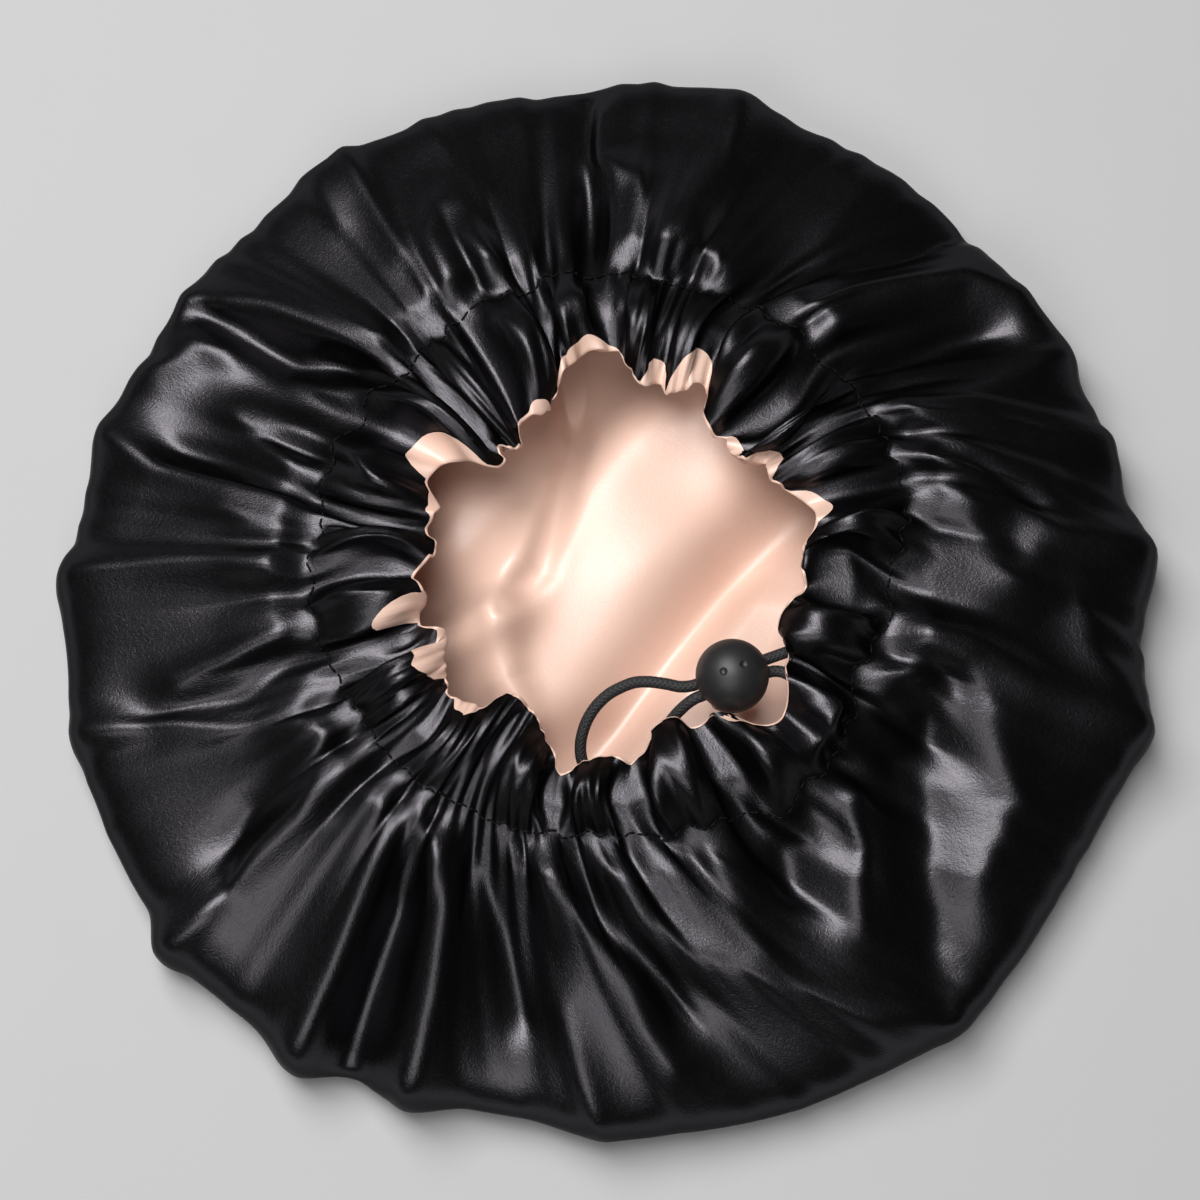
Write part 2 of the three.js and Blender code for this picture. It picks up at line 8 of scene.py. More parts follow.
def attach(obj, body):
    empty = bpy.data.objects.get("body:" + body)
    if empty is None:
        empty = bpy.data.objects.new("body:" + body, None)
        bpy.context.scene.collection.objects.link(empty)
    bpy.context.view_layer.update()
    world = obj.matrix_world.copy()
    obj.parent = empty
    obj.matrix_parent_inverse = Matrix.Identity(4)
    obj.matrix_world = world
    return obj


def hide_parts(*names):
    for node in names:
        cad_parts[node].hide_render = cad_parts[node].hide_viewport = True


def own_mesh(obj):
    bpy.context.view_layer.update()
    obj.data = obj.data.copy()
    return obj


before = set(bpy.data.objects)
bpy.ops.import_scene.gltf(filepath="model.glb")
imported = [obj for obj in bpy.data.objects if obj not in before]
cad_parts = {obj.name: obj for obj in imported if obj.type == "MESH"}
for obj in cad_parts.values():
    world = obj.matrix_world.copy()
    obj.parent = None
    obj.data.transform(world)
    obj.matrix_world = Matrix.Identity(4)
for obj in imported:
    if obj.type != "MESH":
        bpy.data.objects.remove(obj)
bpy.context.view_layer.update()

MM = 0.001
TURN = 2 * math.pi

# Camera
PHOTO_SIDE = 1200
CAMERA_TARGET = Vector((-0.0012, -0.0033, 0.020))
CAMERA_DISTANCE = 1.0
CAMERA_ELEVATION = math.radians(76)
PHOTO_SCALE = 0.000293
SENSOR = 36.0

# The photograph's outline, clockwise from the upper left, in pixels
OUTLINE_PIXELS = [
    (400, 138), (448, 115), (489, 103), (543, 98), (591, 89), (624, 84), (655, 85), (726, 98), (757, 110),
    (800, 130), (871, 163), (922, 194), (963, 221), (979, 245), (1017, 296), (1058, 344), (1065, 357),
    (1084, 400), (1110, 448), (1126, 507), (1143, 550), (1147, 568), (1144, 617), (1140, 642), (1140, 739),
    (1129, 765), (1115, 800), (1083, 861), (1060, 902), (1004, 986), (986, 1009), (963, 1030), (922, 1055),
    (864, 1086), (800, 1114), (757, 1125), (681, 1135), (630, 1140), (596, 1138), (528, 1123), (464, 1111),
    (413, 1105), (357, 1088), (301, 1072), (288, 1063), (255, 1030), (191, 976), (163, 959), (156, 948),
    (147, 915), (105, 841), (90, 800), (76, 749), (64, 640), (60, 596), (62, 576), (76, 543), (87, 489),
    (106, 428), (122, 400), (153, 357), (176, 324), (184, 305), (204, 275), (250, 232), (298, 189),
    (319, 176), (352, 158),
]
OUTLINE_LEVEL = 0.010

# The edge of the mouth, clockwise from the top, in pixels
MOUTH_PIXELS = [
    (585, 345), (620, 352), (645, 378), (668, 386), (700, 382), (712, 412), (722, 440), (752, 455),
    (775, 472), (800, 497), (822, 515), (815, 541), (802, 570), (792, 610), (786, 650), (790, 690),
    (768, 730), (738, 716), (705, 722), (668, 727), (640, 757), (608, 761), (563, 771), (539, 740),
    (530, 705), (498, 702), (478, 716), (458, 702), (440, 672), (436, 640), (418, 612), (414, 580),
    (428, 545), (430, 510), (424, 480), (450, 464), (488, 460), (514, 440), (530, 410), (556, 398), (566, 362),
]
MOUTH_LEVEL = 0.047

# The line of stitching, in pixels
SEAM_PIXELS = [
    (600, 286), (640, 288), (720, 305), (790, 335), (842, 385), (880, 440), (896, 500), (892, 560),
    (872, 630), (850, 700), (815, 765), (770, 805), (720, 825), (645, 829), (582, 827), (487, 815),
    (420, 775), (370, 720), (335, 660), (318, 600), (322, 545), (332, 480), (365, 425), (415, 365),
    (470, 320), (540, 290),
]
SEAM_LEVEL = 0.0405


def at_pixel(u, v, level):
    """The place at a height above the floor that the camera sees at a pixel of the photograph."""
    sine, cosine = math.sin(CAMERA_ELEVATION), math.cos(CAMERA_ELEVATION)
    eye = np.array([CAMERA_TARGET.x, CAMERA_TARGET.y - CAMERA_DISTANCE * cosine,
                    CAMERA_TARGET.z + CAMERA_DISTANCE * sine])
    across = (np.asarray(u, float) - PHOTO_SIDE / 2) * PHOTO_SCALE / CAMERA_DISTANCE
    upward = (PHOTO_SIDE / 2 - np.asarray(v, float)) * PHOTO_SCALE / CAMERA_DISTANCE
    ray = np.stack([across, cosine + upward * sine, upward * cosine - sine], axis=-1)
    reach = (np.asarray(level, float) - eye[2]) / ray[..., 2]
    return eye[0] + reach * ray[..., 0], eye[1] + reach * ray[..., 1]


def make_camera():
    camera = bpy.data.objects.new("camera", bpy.data.cameras.new("camera"))
    bpy.context.scene.collection.objects.link(camera)
    camera.data.sensor_width = SENSOR
    camera.data.lens = SENSOR * CAMERA_DISTANCE / (PHOTO_SIDE * PHOTO_SCALE)
    away = Vector((0, -math.cos(CAMERA_ELEVATION), math.sin(CAMERA_ELEVATION)))
    camera.location = CAMERA_TARGET + away * CAMERA_DISTANCE
    camera.rotation_euler = (math.pi / 2 - CAMERA_ELEVATION, 0, 0)
    camera.data.clip_start = 0.01
    bpy.context.scene.camera = camera


make_camera()


# Cords: the route of the free loop and of the two runs in the channel, as in the part
CORD_RADIUS = 1.7 * MM
CORD_LEVEL = 42.5 * MM
CORD_RING_RADIUS = 69 * MM
MOUTH_CENTRE = np.array([0.0, 0.0015])
LOCK_PLACE = np.array([0.0363, -0.0319, 0.046])
LOCK_TURN = math.radians(20)
LOCK_ALONG = np.array([math.cos(LOCK_TURN), math.sin(LOCK_TURN)])
LOCK_ACROSS = np.array([-LOCK_ALONG[1], LOCK_ALONG[0]])
STRAND_HALF_SPACING = 1.85 * MM
LOOP_MEET = 5.3 * MM
LOOP_STRAIGHT_END = 11.3 * MM
LOOP_ROUTE = [
    (22, -34.3, 42.3), (17.5, -33.4, 42), (13, -32.7, 41.5), (8.8, -32.7, 40.8), (4.9, -33.9, 39.9),
    (1.3, -35.7, 38.8), (-1.9, -38.4, 37.4), (-4.4, -41.7, 35.7), (-6.1, -45.6, 33.8), (-6.8, -49.7, 31.7),
    (-6.1, -53.8, 29.8), (-3.4, -57.4, 28.3), (1, -59.1, 27.7), (5.6, -58.2, 28.3), (9.5, -55.5, 30),
    (12.8, -51.9, 32.4), (15.6, -48, 35), (18.3, -44.2, 37.6), (21.3, -40.9, 40),
]


def spline(values, places, wanted):
    """A smooth curve through rows of values at rising places."""
    values, places = np.asarray(values, float), np.asarray(places, float)
    slope = np.gradient(values, places, axis=0)
    i = np.clip(np.searchsorted(places, wanted, side="right") - 1, 0, len(places) - 2)
    span = places[i + 1] - places[i]
    t = ((wanted - places[i]) / span)[:, None]
    span = span[:, None]
    a, b = values[i], values[i + 1]
    return (a * (1 + 2 * t) * (1 - t) ** 2 + b * t ** 2 * (3 - 2 * t)
            + slope[i] * span * t * (1 - t) ** 2 - slope[i + 1] * span * t ** 2 * (1 - t))


def smooth_path(points, spacing):
    """Points at even distances along a smooth curve through the given ones."""
    points = np.asarray(points, float)
    places = np.concatenate([[0], np.cumsum(np.linalg.norm(np.diff(points, axis=0), axis=1))])
    fine = spline(points, places, np.linspace(0, places[-1], 40 * len(points)))
    run = np.concatenate([[0], np.cumsum(np.linalg.norm(np.diff(fine, axis=0), axis=1))])
    wanted = np.linspace(0, run[-1], int(round(run[-1] / spacing)) + 1)
    return np.stack([np.interp(wanted, run, fine[:, axis]) for axis in range(3)], axis=1)


def new_piece(name, vertices, faces, uv=None):
    mesh = bpy.data.meshes.new(name)
    mesh.from_pydata([tuple(map(float, v)) for v in vertices], [], [list(map(int, f)) for f in faces])
    mesh.shade_smooth()
    if uv is not None:
        layer = mesh.uv_layers.new(name="flat")
        corners = np.empty(len(mesh.loops), int)
        mesh.loops.foreach_get("vertex_index", corners)
        layer.data.foreach_set("uv", np.asarray(uv, float)[corners].ravel())
    piece = bpy.data.objects.new(name, mesh)
    bpy.context.scene.collection.objects.link(piece)
    return piece


def tube(name, path, radius, sides=16, closed=False):
    """A round tube along a path, capped unless it closes on itself. Its flat map is in metres."""
    path = np.asarray(path, float)
    count = len(path)
    ahead = (np.roll(path, -1, axis=0) - np.roll(path, 1, axis=0)) if closed else np.gradient(path, axis=0)
    ahead /= np.linalg.norm(ahead, axis=1)[:, None]
    side = np.cross(ahead[0], (0, 0, 1))
    sides_of_path = []
    for direction in ahead:
        side = side - direction * side.dot(direction)
        side /= np.linalg.norm(side)
        sides_of_path.append(side)
    right = np.array(sides_of_path)
    up = np.cross(right, ahead)
    turn = np.arange(sides) / sides * TURN
    ring = right[:, None] * np.cos(turn)[None, :, None] + up[:, None] * np.sin(turn)[None, :, None]
    places = path[:, None] + radius * ring
    index = np.arange(count * sides).reshape(count, sides)
    a, b = (index, np.roll(index, -1, axis=0)) if closed else (index[:-1], index[1:])
    faces = np.stack([a, np.roll(a, -1, axis=1), np.roll(b, -1, axis=1), b], axis=-1).reshape(-1, 4).tolist()
    if not closed:
        faces += [index[0][::-1].tolist(), index[-1].tolist()]
    run = np.concatenate([[0], np.cumsum(np.linalg.norm(np.diff(path, axis=0), axis=1))])
    wrap = np.minimum(np.arange(sides), sides - np.arange(sides)) / sides * TURN * radius
    uv = np.stack(np.broadcast_arrays(run[:, None], wrap[None, :]), axis=-1).reshape(-1, 2)
    return new_piece(name, places.reshape(-1, 3), faces, uv)


def strand_place(side, along):
    place = LOCK_PLACE[:2] + LOCK_ACROSS * side * STRAND_HALF_SPACING + LOCK_ALONG * along
    return (place[0], place[1], CORD_LEVEL)


def cord_run(side, bend_radius, end_degrees):
    """From the lock round one bend into the channel, then round the channel to the sleeve."""
    to_mouth = np.array(strand_place(side, 0)[:2]) + LOCK_ACROSS * side * bend_radius - MOUTH_CENTRE
    half = to_mouth.dot(LOCK_ALONG)
    start = -half + math.sqrt(half ** 2 - to_mouth.dot(to_mouth) + (CORD_RING_RADIUS - bend_radius) ** 2)
    centre = to_mouth + LOCK_ALONG * start + MOUTH_CENTRE
    join = math.atan2(*(centre - MOUTH_CENTRE)[::-1])
    begin = LOCK_TURN - side * math.pi / 2
    bend = side * ((side * (join - begin)) % TURN)
    ring = side * ((side * (math.radians(end_degrees) - join)) % TURN) - side * 0.3 * MM / CORD_RING_RADIUS
    points = [strand_place(side, along) for along in (-LOOP_MEET + 0.3 * MM, 0, start - bend_radius / 2)]
    for middle, radius, first, turn, count in ((centre, bend_radius, begin, bend, 7),
                                               (MOUTH_CENTRE, CORD_RING_RADIUS, join, ring, 40)):
        for step in range(1 if len(points) > 3 else 0, count + 1):
            angle = first + turn * step / count
            points.append((middle[0] + radius * math.cos(angle), middle[1] + radius * math.sin(angle), CORD_LEVEL))
    return smooth_path(points, 1 * MM)


loop_ends = [[strand_place(side, -along) for along in
              (LOOP_MEET, (LOOP_MEET + LOOP_STRAIGHT_END) / 2, LOOP_STRAIGHT_END)] for side in (1, -1)]
loop_path = smooth_path(loop_ends[0] + [tuple(MM * c for c in p) for p in LOOP_ROUTE] + loop_ends[1][::-1], 0.8 * MM)
loop = tube("pull_loop_cord", loop_path, CORD_RADIUS, 20)
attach(loop, "bonnet")
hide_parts("pull_loop")
runs = []
for name, side, bend in (("upper", 1, 12 * MM), ("lower", -1, 7 * MM)):
    run = tube(f"channel_cord_{name}", cord_run(side, bend, 150), CORD_RADIUS, 16)
    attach(run, "bonnet")
    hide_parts(f"drawcord_{name}_run")
    runs.append(run)


# Cloth laid out in columns round the mouth and rows from the hem to the underside

# Gathers at the stitching: angle at the seam, angle at the outline, height share
FOLDS = [
    (4, -7, 0.6), (13, 0, 0.9), (22, 5, 1.5), (31, 15, 1.5), (41, 30, 0.6), (49, 36, 1.5), (57, 40, 0.6),
    (68, 58, 0.9), (80, 76, 1.6), (88, 88, 0.5), (97, 94, 1.1), (104, 103, 0.5), (110, 111, 1.2),
    (118, 116, 0.8), (124, 121, 0.6), (135, 142, 1.6), (145, 150, 0.5), (154, 155, 0.9), (163, 160, 1.3),
    (172, 168, 0.5), (181, 178, 1.3), (192, 188, 0.7), (203, 196, 1.4), (212, 207, 0.8), (219, 220, 1.5),
    (226, 230, 0.6), (232, 240, 1.5), (239, 250, 1.1), (248, 262, 0.7), (258, 276, 1.6), (268, 290, 0.8),
    (278, 301, 1.4), (289, 310, 0.5), (301, 317, 0.9), (313, 323, 0.6), (325, 330, 1), (337, 337, 0.8),
    (348, 344, 1.4),
]

# Lobes of the ruffle: angle at the seam, angle at the hem, height share
LOBES = [
    (2, 8, 1.1), (22, 27, 0.9), (40, 38, 1.1), (57, 54, 1.3), (70, 68, 0.9), (84, 79, 1.2), (98, 96, 0.6),
    (110, 114, 1.2), (124, 127, 1.2), (141, 137, 1.1), (157, 160, 1.0), (176, 179, 1.1), (195, 190, 1.2),
    (213, 208, 1.2), (230, 235, 0.9), (249, 252, 1.1), (268, 266, 0.8), (290, 288, 1.2), (306, 310, 0.9),
    (322, 325, 1.2), (342, 339, 1.3),
]

# Main folds in pixels of the photograph: points, height in mm, and width in mm to the left and right of the line
STROKES = [
    ([(430, 380), (383, 344), (268, 301), (190, 303)], 7, 11, 9), ([(400, 372), (300, 362), (209, 312)], -6, 6, 6),
    ([(398, 255), (370, 204), (346, 162)], 5, 8, 8), ([(339, 217), (319, 176)], 3, 7, 7),
    ([(446, 303), (428, 242), (441, 209)], 6, 7, 9), ([(502, 286), (466, 245)], 5, 6, 6),
    ([(584, 275), (584, 158), (589, 102)], -7, 8, 8), ([(571, 286), (568, 230), (580, 165)], 3, 4, 5),
    ([(663, 237), (637, 184), (599, 153), (600, 112)], 6, 10, 10), ([(645, 275), (683, 227), (726, 163), (739, 112)], 7, 9, 9),
    ([(721, 303), (693, 242), (690, 222)], 6, 6, 7), ([(752, 290), (800, 275), (902, 252), (963, 225)], -5, 9, 7),
    ([(770, 335), (800, 321), (848, 293), (915, 281), (966, 278), (1017, 300)], 7, 9, 10),
    ([(830, 380), (884, 367), (943, 339), (989, 329)], -5, 8, 8), ([(979, 400), (1012, 380), (1060, 353)], 5, 8, 8),
    ([(830, 425), (902, 416), (953, 438), (1009, 469), (1042, 479)], 6, 8, 7),
    ([(961, 408), (1030, 428), (1106, 448)], 4, 9, 8), ([(905, 437), (975, 468), (1030, 505)], -5, 5, 5),
    ([(880, 452), (953, 469), (1004, 497), (1055, 535), (1128, 553)], 6, 8, 9),
    ([(945, 474), (979, 540), (1012, 579), (1042, 543), (1140, 566)], 4, 8, 8),
    ([(1012, 579), (1076, 589), (1093, 655), (1138, 735)], 4, 10, 10),
    ([(868, 618), (928, 640), (973, 645), (1030, 688), (1139, 739)], 7, 9, 10),
    ([(859, 693), (902, 670), (963, 660), (989, 701), (1004, 757), (1017, 800), (979, 877)], 5, 12, 12),
    ([(938, 675), (928, 732), (887, 755)], -5, 8, 8), ([(339, 525), (281, 502), (204, 484), (153, 466), (110, 436)], 6, 9, 8),
    ([(340, 500), (240, 462), (180, 448)], -5, 8, 7), ([(332, 553), (306, 548), (255, 530), (224, 510)], 4, 5, 5),
    ([(327, 594), (293, 573), (230, 561), (166, 563), (80, 578)], 6, 9, 10), ([(316, 622), (281, 635), (230, 660), (179, 681)], 5, 8, 7),
    ([(320, 640), (250, 700), (150, 712)], -5, 9, 8), ([(296, 721), (230, 727), (153, 724), (77, 742)], 5, 7, 9),
    ([(330, 740), (306, 815), (255, 859), (204, 920), (170, 955)], 6, 10, 8), ([(253, 803), (230, 843), (226, 887)], -4, 5, 5),
    ([(398, 790), (378, 851), (332, 973), (296, 1062)], 9, 15, 9), ([(412, 800), (400, 900), (350, 1060)], -9, 8, 9),
    ([(426, 808), (441, 902), (431, 991), (413, 1100)], 8, 7, 8), ([(470, 830), (500, 920), (520, 1010)], -6, 9, 9),
    ([(505, 815), (553, 884), (591, 933), (624, 979), (645, 1030), (670, 1065)], 8, 9, 8),
    ([(560, 850), (610, 930), (680, 1000)], -6, 8, 7),
    ([(576, 838), (617, 874), (642, 915), (681, 945), (732, 971), (800, 989), (877, 1012), (945, 1024)], 8, 10, 9),
    ([(563, 1012), (579, 1055), (602, 1132)], 4, 8, 8), ([(848, 790), (859, 846), (854, 877), (861, 922)], 5, 6, 6),
    ([(700, 850), (740, 920), (760, 950)], 4, 7, 7), ([(780, 830), (790, 890)], -5, 7, 7),
    ([(920, 780), (935, 902), (938, 1015)], -4, 9, 14),
    ([(240, 420), (290, 470), (330, 500)], 4, 6, 6), ([(160, 370), (200, 345), (230, 350)], 4, 8, 8),
    ([(430, 130), (480, 190), (500, 240)], 3, 14, 14), ([(860, 190), (820, 240), (790, 262)], 3, 16, 16),
]

# Cross-section: weights of the mouth, seam and outline radii, height, gather height, and lobe height, in mm
SECTION = [
    (1, 0, 0, 47.6, 0, 2.2), (0.72, 0.28, 0, 52.2, 0, 7.0), (0.34, 0.66, 0, 52.0, 0, 7.0), (0.1, 0.9, 0, 45.5, 0, 3.4),
    (0, 1, 0, 42.2, 1.15, 1.3), (0, 0.94, 0.06, 41.0, 1.6, 0.4), (0, 0.82, 0.18, 38.8, 1.6, 0),
    (0, 0.6, 0.4, 33.8, 0.7, 0), (0, 0.34, 0.66, 28.2, 0.1, 0), (0, 0.12, 0.88, 22.6, 0, 0),
    (0, 0.03, 0.97, 18.5, 0, 0), (0, 0, 1, 10.0, 0, 0),
    (0, 0, 0.985, 3.6, 0, 0), (0, 0, 0.95, 1.2, 0, 0), (0, 0, 0.88, 0.6, 0, 0), (0, 0, 0.8, 0.6, 0, 0),
]
STITCH, RIM_START, OUTLINE = 4, 8, 11
LOWEST = [45.4, 45.4, 45.4, 41, 38.4, 36, 30, 24, 17, 9, 5, 3, 0.8, 0.5, 0.3, 0.3]
HIGHEST = [54, 61, 61, 54, 45.2, 50, 54, 53, 48, 40, 32, 20, 8, 4, 3, 3]
MOUTH_RADIUS = 0.055
SEAM_RADIUS = 0.082
OUTLINE_RADIUS = 0.160
MOUTH_OFFSET = 0.0015
SKIRT_SPARE_SHARE = 0.28
RUFFLE_SPARE_SHARE = 0.22
SCALLOP_DEPTH = 1.5 * MM
PUFF_CHANGE, PUFF_TURNS, LEAN = 0.3, 7, 0.05
STROKE_SHARE = 1.5
STROKE_MOST = 12 * MM
STROKE_HELD = 4 * MM
STROKE_ROUNDING = 1.6 * MM
RIM_SHARE = 0.5

# Broad smooth panels of the skirt: middle angle, half width in degrees, share of the spare cloth that is missing
PANELS = [(62, 15, 0.85), (36, 7, 0.5), (104, 12, 0.8), (134, 9, 0.8), (158, 7, 0.6), (187, 11, 0.8), (207, 7, 0.6),
          (228, 10, 0.9), (250, 6, 0.5), (272, 6, 0.5), (291, 8, 0.6), (322, 13, 0.85), (345, 9, 0.7), (10, 8, 0.6)]
COLUMNS = 768
ROWS = 89
LOCK_CLEARANCE = 11.0 * MM
LOCK_TRAVEL = 3.5 * MM
UNDERSIDE_RADIUS = 0.128


def smoothstep(value):
    value = np.clip(value, 0, 1)
    return value * value * (3 - 2 * value)


def ring_radius(pixels, level, angles, centre_y):
    """Radius of a ring that was read from the photograph, at each angle."""
    u, v = np.array(pixels, float).T
    x, y = at_pixel(u, v, level)
    y = y - centre_y
    order = np.argsort(np.arctan2(y, x) % TURN)
    return np.interp(angles % TURN, (np.arctan2(y, x) % TURN)[order], np.hypot(x, y)[order], period=TURN)


def section_rows(count):
    """Rows at even distances along the cross-section, and their distance from the hem."""
    table = np.array(SECTION, float)
    radius = table[:, :3] @ np.array([MOUTH_RADIUS, SEAM_RADIUS, OUTLINE_RADIUS])
    steps = np.hypot(np.diff(radius), np.diff(table[:, 3]) * MM)
    places = np.concatenate([[0], np.cumsum(steps)])
    wanted = np.linspace(0, places[-1], count)
    rows = spline(table, places, wanted)
    rows[:, 3:] *= MM
    rows[:, 4:] = np.maximum(rows[:, 4:], 0)
    return rows, wanted, places


def wave_at(table, degrees, column, power):
    """A rounded ridge at each angle of a column of the table and a narrow valley between, times its height share."""
    table = np.array(sorted(table, key=lambda row: row[column]), float)
    table = np.vstack([table[-1:] - [[360, 360, 0]], table, table[:1] + [[360, 360, 0]]])
    degrees = np.where(degrees > table[-1, column], degrees - 360, degrees)
    phase = np.interp(degrees, table[:, column], np.arange(len(table)))
    wave = 1 - 2 * np.abs(2 * (phase - np.round(phase))) ** power
    return wave * np.interp(degrees, table[:, column], table[:, 2])


def on_skirt(u, v):
    """The place on the skirt that a pixel shows, from the height that the skirt has at that radius."""
    level = 0.035
    for _ in range(3):
        x, y = at_pixel(u, v, level)
        level = np.interp(np.hypot(x, y), (0.082, 0.112, 0.133, 0.151, 0.160), (0.042, 0.039, 0.034, 0.025, 0.011))
    return x, y


def stroke_height(x, y):
    """Height that the main folds add at places on the cloth."""
    total = np.zeros_like(x)
    for pixels, height, left, right in STROKES:
        u, v = np.array(pixels, float).T
        px, py = on_skirt(u, v)
        run = np.concatenate([[0], np.cumsum(np.hypot(np.diff(px), np.diff(py)))])
        best = np.full(x.shape, 1e9)
        share, sign = np.zeros_like(x), np.zeros_like(x)
        for i in range(len(px) - 1):
            dx, dy = px[i + 1] - px[i], py[i + 1] - py[i]
            t = np.clip(((x - px[i]) * dx + (y - py[i]) * dy) / (dx * dx + dy * dy), 0, 1)
            ox, oy = x - px[i] - t * dx, y - py[i] - t * dy
            gap = np.hypot(ox, oy)
            near = gap < best
            best = np.where(near, gap, best)
            share = np.where(near, (run[i] + t * (run[i + 1] - run[i])) / run[-1], share)
            sign = np.where(near, (dx * oy - dy * ox) / (np.hypot(dx, dy) * (gap + 1e-9)), sign)
        width = (left * (1 + sign) + right * (1 - sign)) / 2 * MM
        ends = 0.45 + 0.55 * np.sin(math.pi * (0.22 + 0.53 * share))
        crest = np.sqrt(best ** 2 + STROKE_ROUNDING ** 2) - STROKE_ROUNDING
        total += STROKE_SHARE * height * MM * ends * np.exp(-crest / width)
    return STROKE_MOST * np.tanh(total / STROKE_MOST)


def lay_out(rows_count, columns_count):
    """The gathered cloth before it settles."""
    rows, distance, places = section_rows(rows_count)
    outline_angle = np.arange(columns_count) / columns_count * TURN
    degrees = np.degrees(outline_angle)
    table = np.array(sorted(FOLDS, key=lambda row: row[1]), float)
    table = np.vstack([table[-1:] - [[360, 360, 0]], table, table[:1] + [[360, 360, 0]]])
    seam_angle = np.radians(np.interp(np.where(degrees > table[-1, 1], degrees - 360, degrees), table[:, 1], table[:, 0]))
    mouth = ring_radius(MOUTH_PIXELS, MOUTH_LEVEL, seam_angle, MOUTH_OFFSET)
    seam = ring_radius(SEAM_PIXELS, SEAM_LEVEL, seam_angle, MOUTH_OFFSET)
    outline = ring_radius(OUTLINE_PIXELS, OUTLINE_LEVEL, outline_angle, 0) * 0.992
    out = np.clip(rows[:, 2], 0, 1)[:, None]
    radius = rows[:, :1] * mouth + rows[:, 1:2] * seam + rows[:, 2:3] * outline
    seam_degrees = np.degrees(seam_angle) % 360
    at_hem = np.clip(1 - distance / places[STITCH], 0, 1)[:, None]
    lobes = (1 - at_hem) * wave_at(LOBES, seam_degrees, 0, 2.2) + at_hem * wave_at(LOBES, seam_degrees, 1, 2.2)
    radius = radius - SCALLOP_DEPTH * at_hem ** 2 * lobes
    turn = (outline_angle - seam_angle + math.pi) % TURN - math.pi
    under = (distance > places[OUTLINE])[:, None]
    lean = LEAN * np.sin(math.pi * at_hem) * (np.sin(5 * seam_angle + 1) + 0.7 * np.sin(11 * seam_angle + 2))
    angle = np.where(under, outline_angle, seam_angle + turn * out + lean)
    points = np.empty((rows_count, columns_count, 3))
    points[..., 0] = radius * np.cos(angle)
    points[..., 1] = radius * np.sin(angle) + MOUTH_OFFSET * np.where(under, 0, 1 - out)
    gathers = wave_at(FOLDS, degrees, 1, 1.8)[None, :]
    puff = 1 + PUFF_CHANGE * np.sin(PUFF_TURNS * seam_angle + 4 * at_hem)
    points[..., 2] = rows[:, 3:4] + rows[:, 4:5] * gathers + rows[:, 5:6] * lobes * puff
    skirt = np.clip((distance - places[STITCH]) / 0.012, 0, 1) * np.clip((places[OUTLINE] - distance) / 0.008, 0, 1)
    strokes = stroke_height(points[..., 0], points[..., 1]) * skirt[:, None]
    points[..., 2] += strokes
    rim = smoothstep((distance - places[RIM_START]) / (places[OUTLINE] - places[RIM_START]))
    rim *= 1 - smoothstep((distance - places[OUTLINE]) / 0.012)
    bulge = RIM_SHARE * stroke_height(points[..., 0], points[..., 1]) * rim[:, None]
    points[..., 0] += bulge * np.cos(angle)
    points[..., 1] += bulge * np.sin(angle)
    return points, distance, places, np.clip(np.abs(strokes) / STROKE_HELD, 0, 1)


def rest_lengths(points, distance, places):
    """Lengths that the cloth keeps: more cloth than room towards the mouth, none to spare at the outline."""
    step = np.roll(points, -1, axis=1) - points
    laid = even_out(np.linalg.norm(step, axis=2))
    plan = even_out(np.linalg.norm(step[..., :2], axis=2))
    beyond = np.clip((distance - places[STITCH]) / (places[OUTLINE] - places[STITCH]), 0, 1)
    ruffle = np.clip(1 - distance / places[STITCH], 0, 1)
    spare = 1 + SKIRT_SPARE_SHARE * (1 - beyond) ** 2.4 + RUFFLE_SPARE_SHARE * np.sin(math.pi * ruffle) ** 2
    stitched = np.exp(-((distance - places[STITCH]) / 0.003) ** 2)
    spare = np.where(distance > places[OUTLINE], 1, spare - SKIRT_SPARE_SHARE * 0.75 * stitched)
    degrees = np.arange(points.shape[1]) / points.shape[1] * 360
    smooth = np.zeros(points.shape[1])
    for middle, half, share in PANELS:
        aside = (degrees - middle + 180) % 360 - 180
        smooth = np.maximum(smooth, share * np.exp(-(aside / half) ** 4))
    on_panel = smooth[None, :] * np.clip((beyond - 0.08) / 0.3, 0, 1)[:, None]
    spare = 1 + (spare[:, None] - 1) * (1 - on_panel) * (1.25 - 0.25 * on_panel)
    across = np.maximum(laid * 1.02, plan * spare)
    return across, np.linalg.norm(np.diff(points, axis=0), axis=2) * 1.01


def even_out(lengths):
    for _ in range(4):
        lengths = 0.25 * np.roll(lengths, 1, axis=1) + 0.5 * lengths + 0.25 * np.roll(lengths, -1, axis=1)
    return lengths


def pull(a, b, rest, share_a, share_b, stiffness, only_push=False):
    """Moves two sets of points towards their distance."""
    d = b - a
    length = np.sqrt(np.einsum("ijk,ijk->ij", d, d)) + 1e-9
    c = (length - rest) / length * stiffness
    if only_push:
        c = np.minimum(c, 0)
    c = c[..., None] * d
    a += share_a * c
    b -= share_b * c


def around(points, step, first, rest, stiffness, hold, only_push=False):
    """Pulls each column to the one that lies step columns on."""
    columns = points.shape[1]
    index = np.arange(first, columns, 2 * step)
    index = (index[:, None] + np.arange(step)).ravel() % columns
    other = (index + step) % columns
    a, b = points[:, index], points[:, other]
    pull(a, b, rest[:, index], hold, hold, stiffness, only_push)
    points[:, index], points[:, other] = a, b


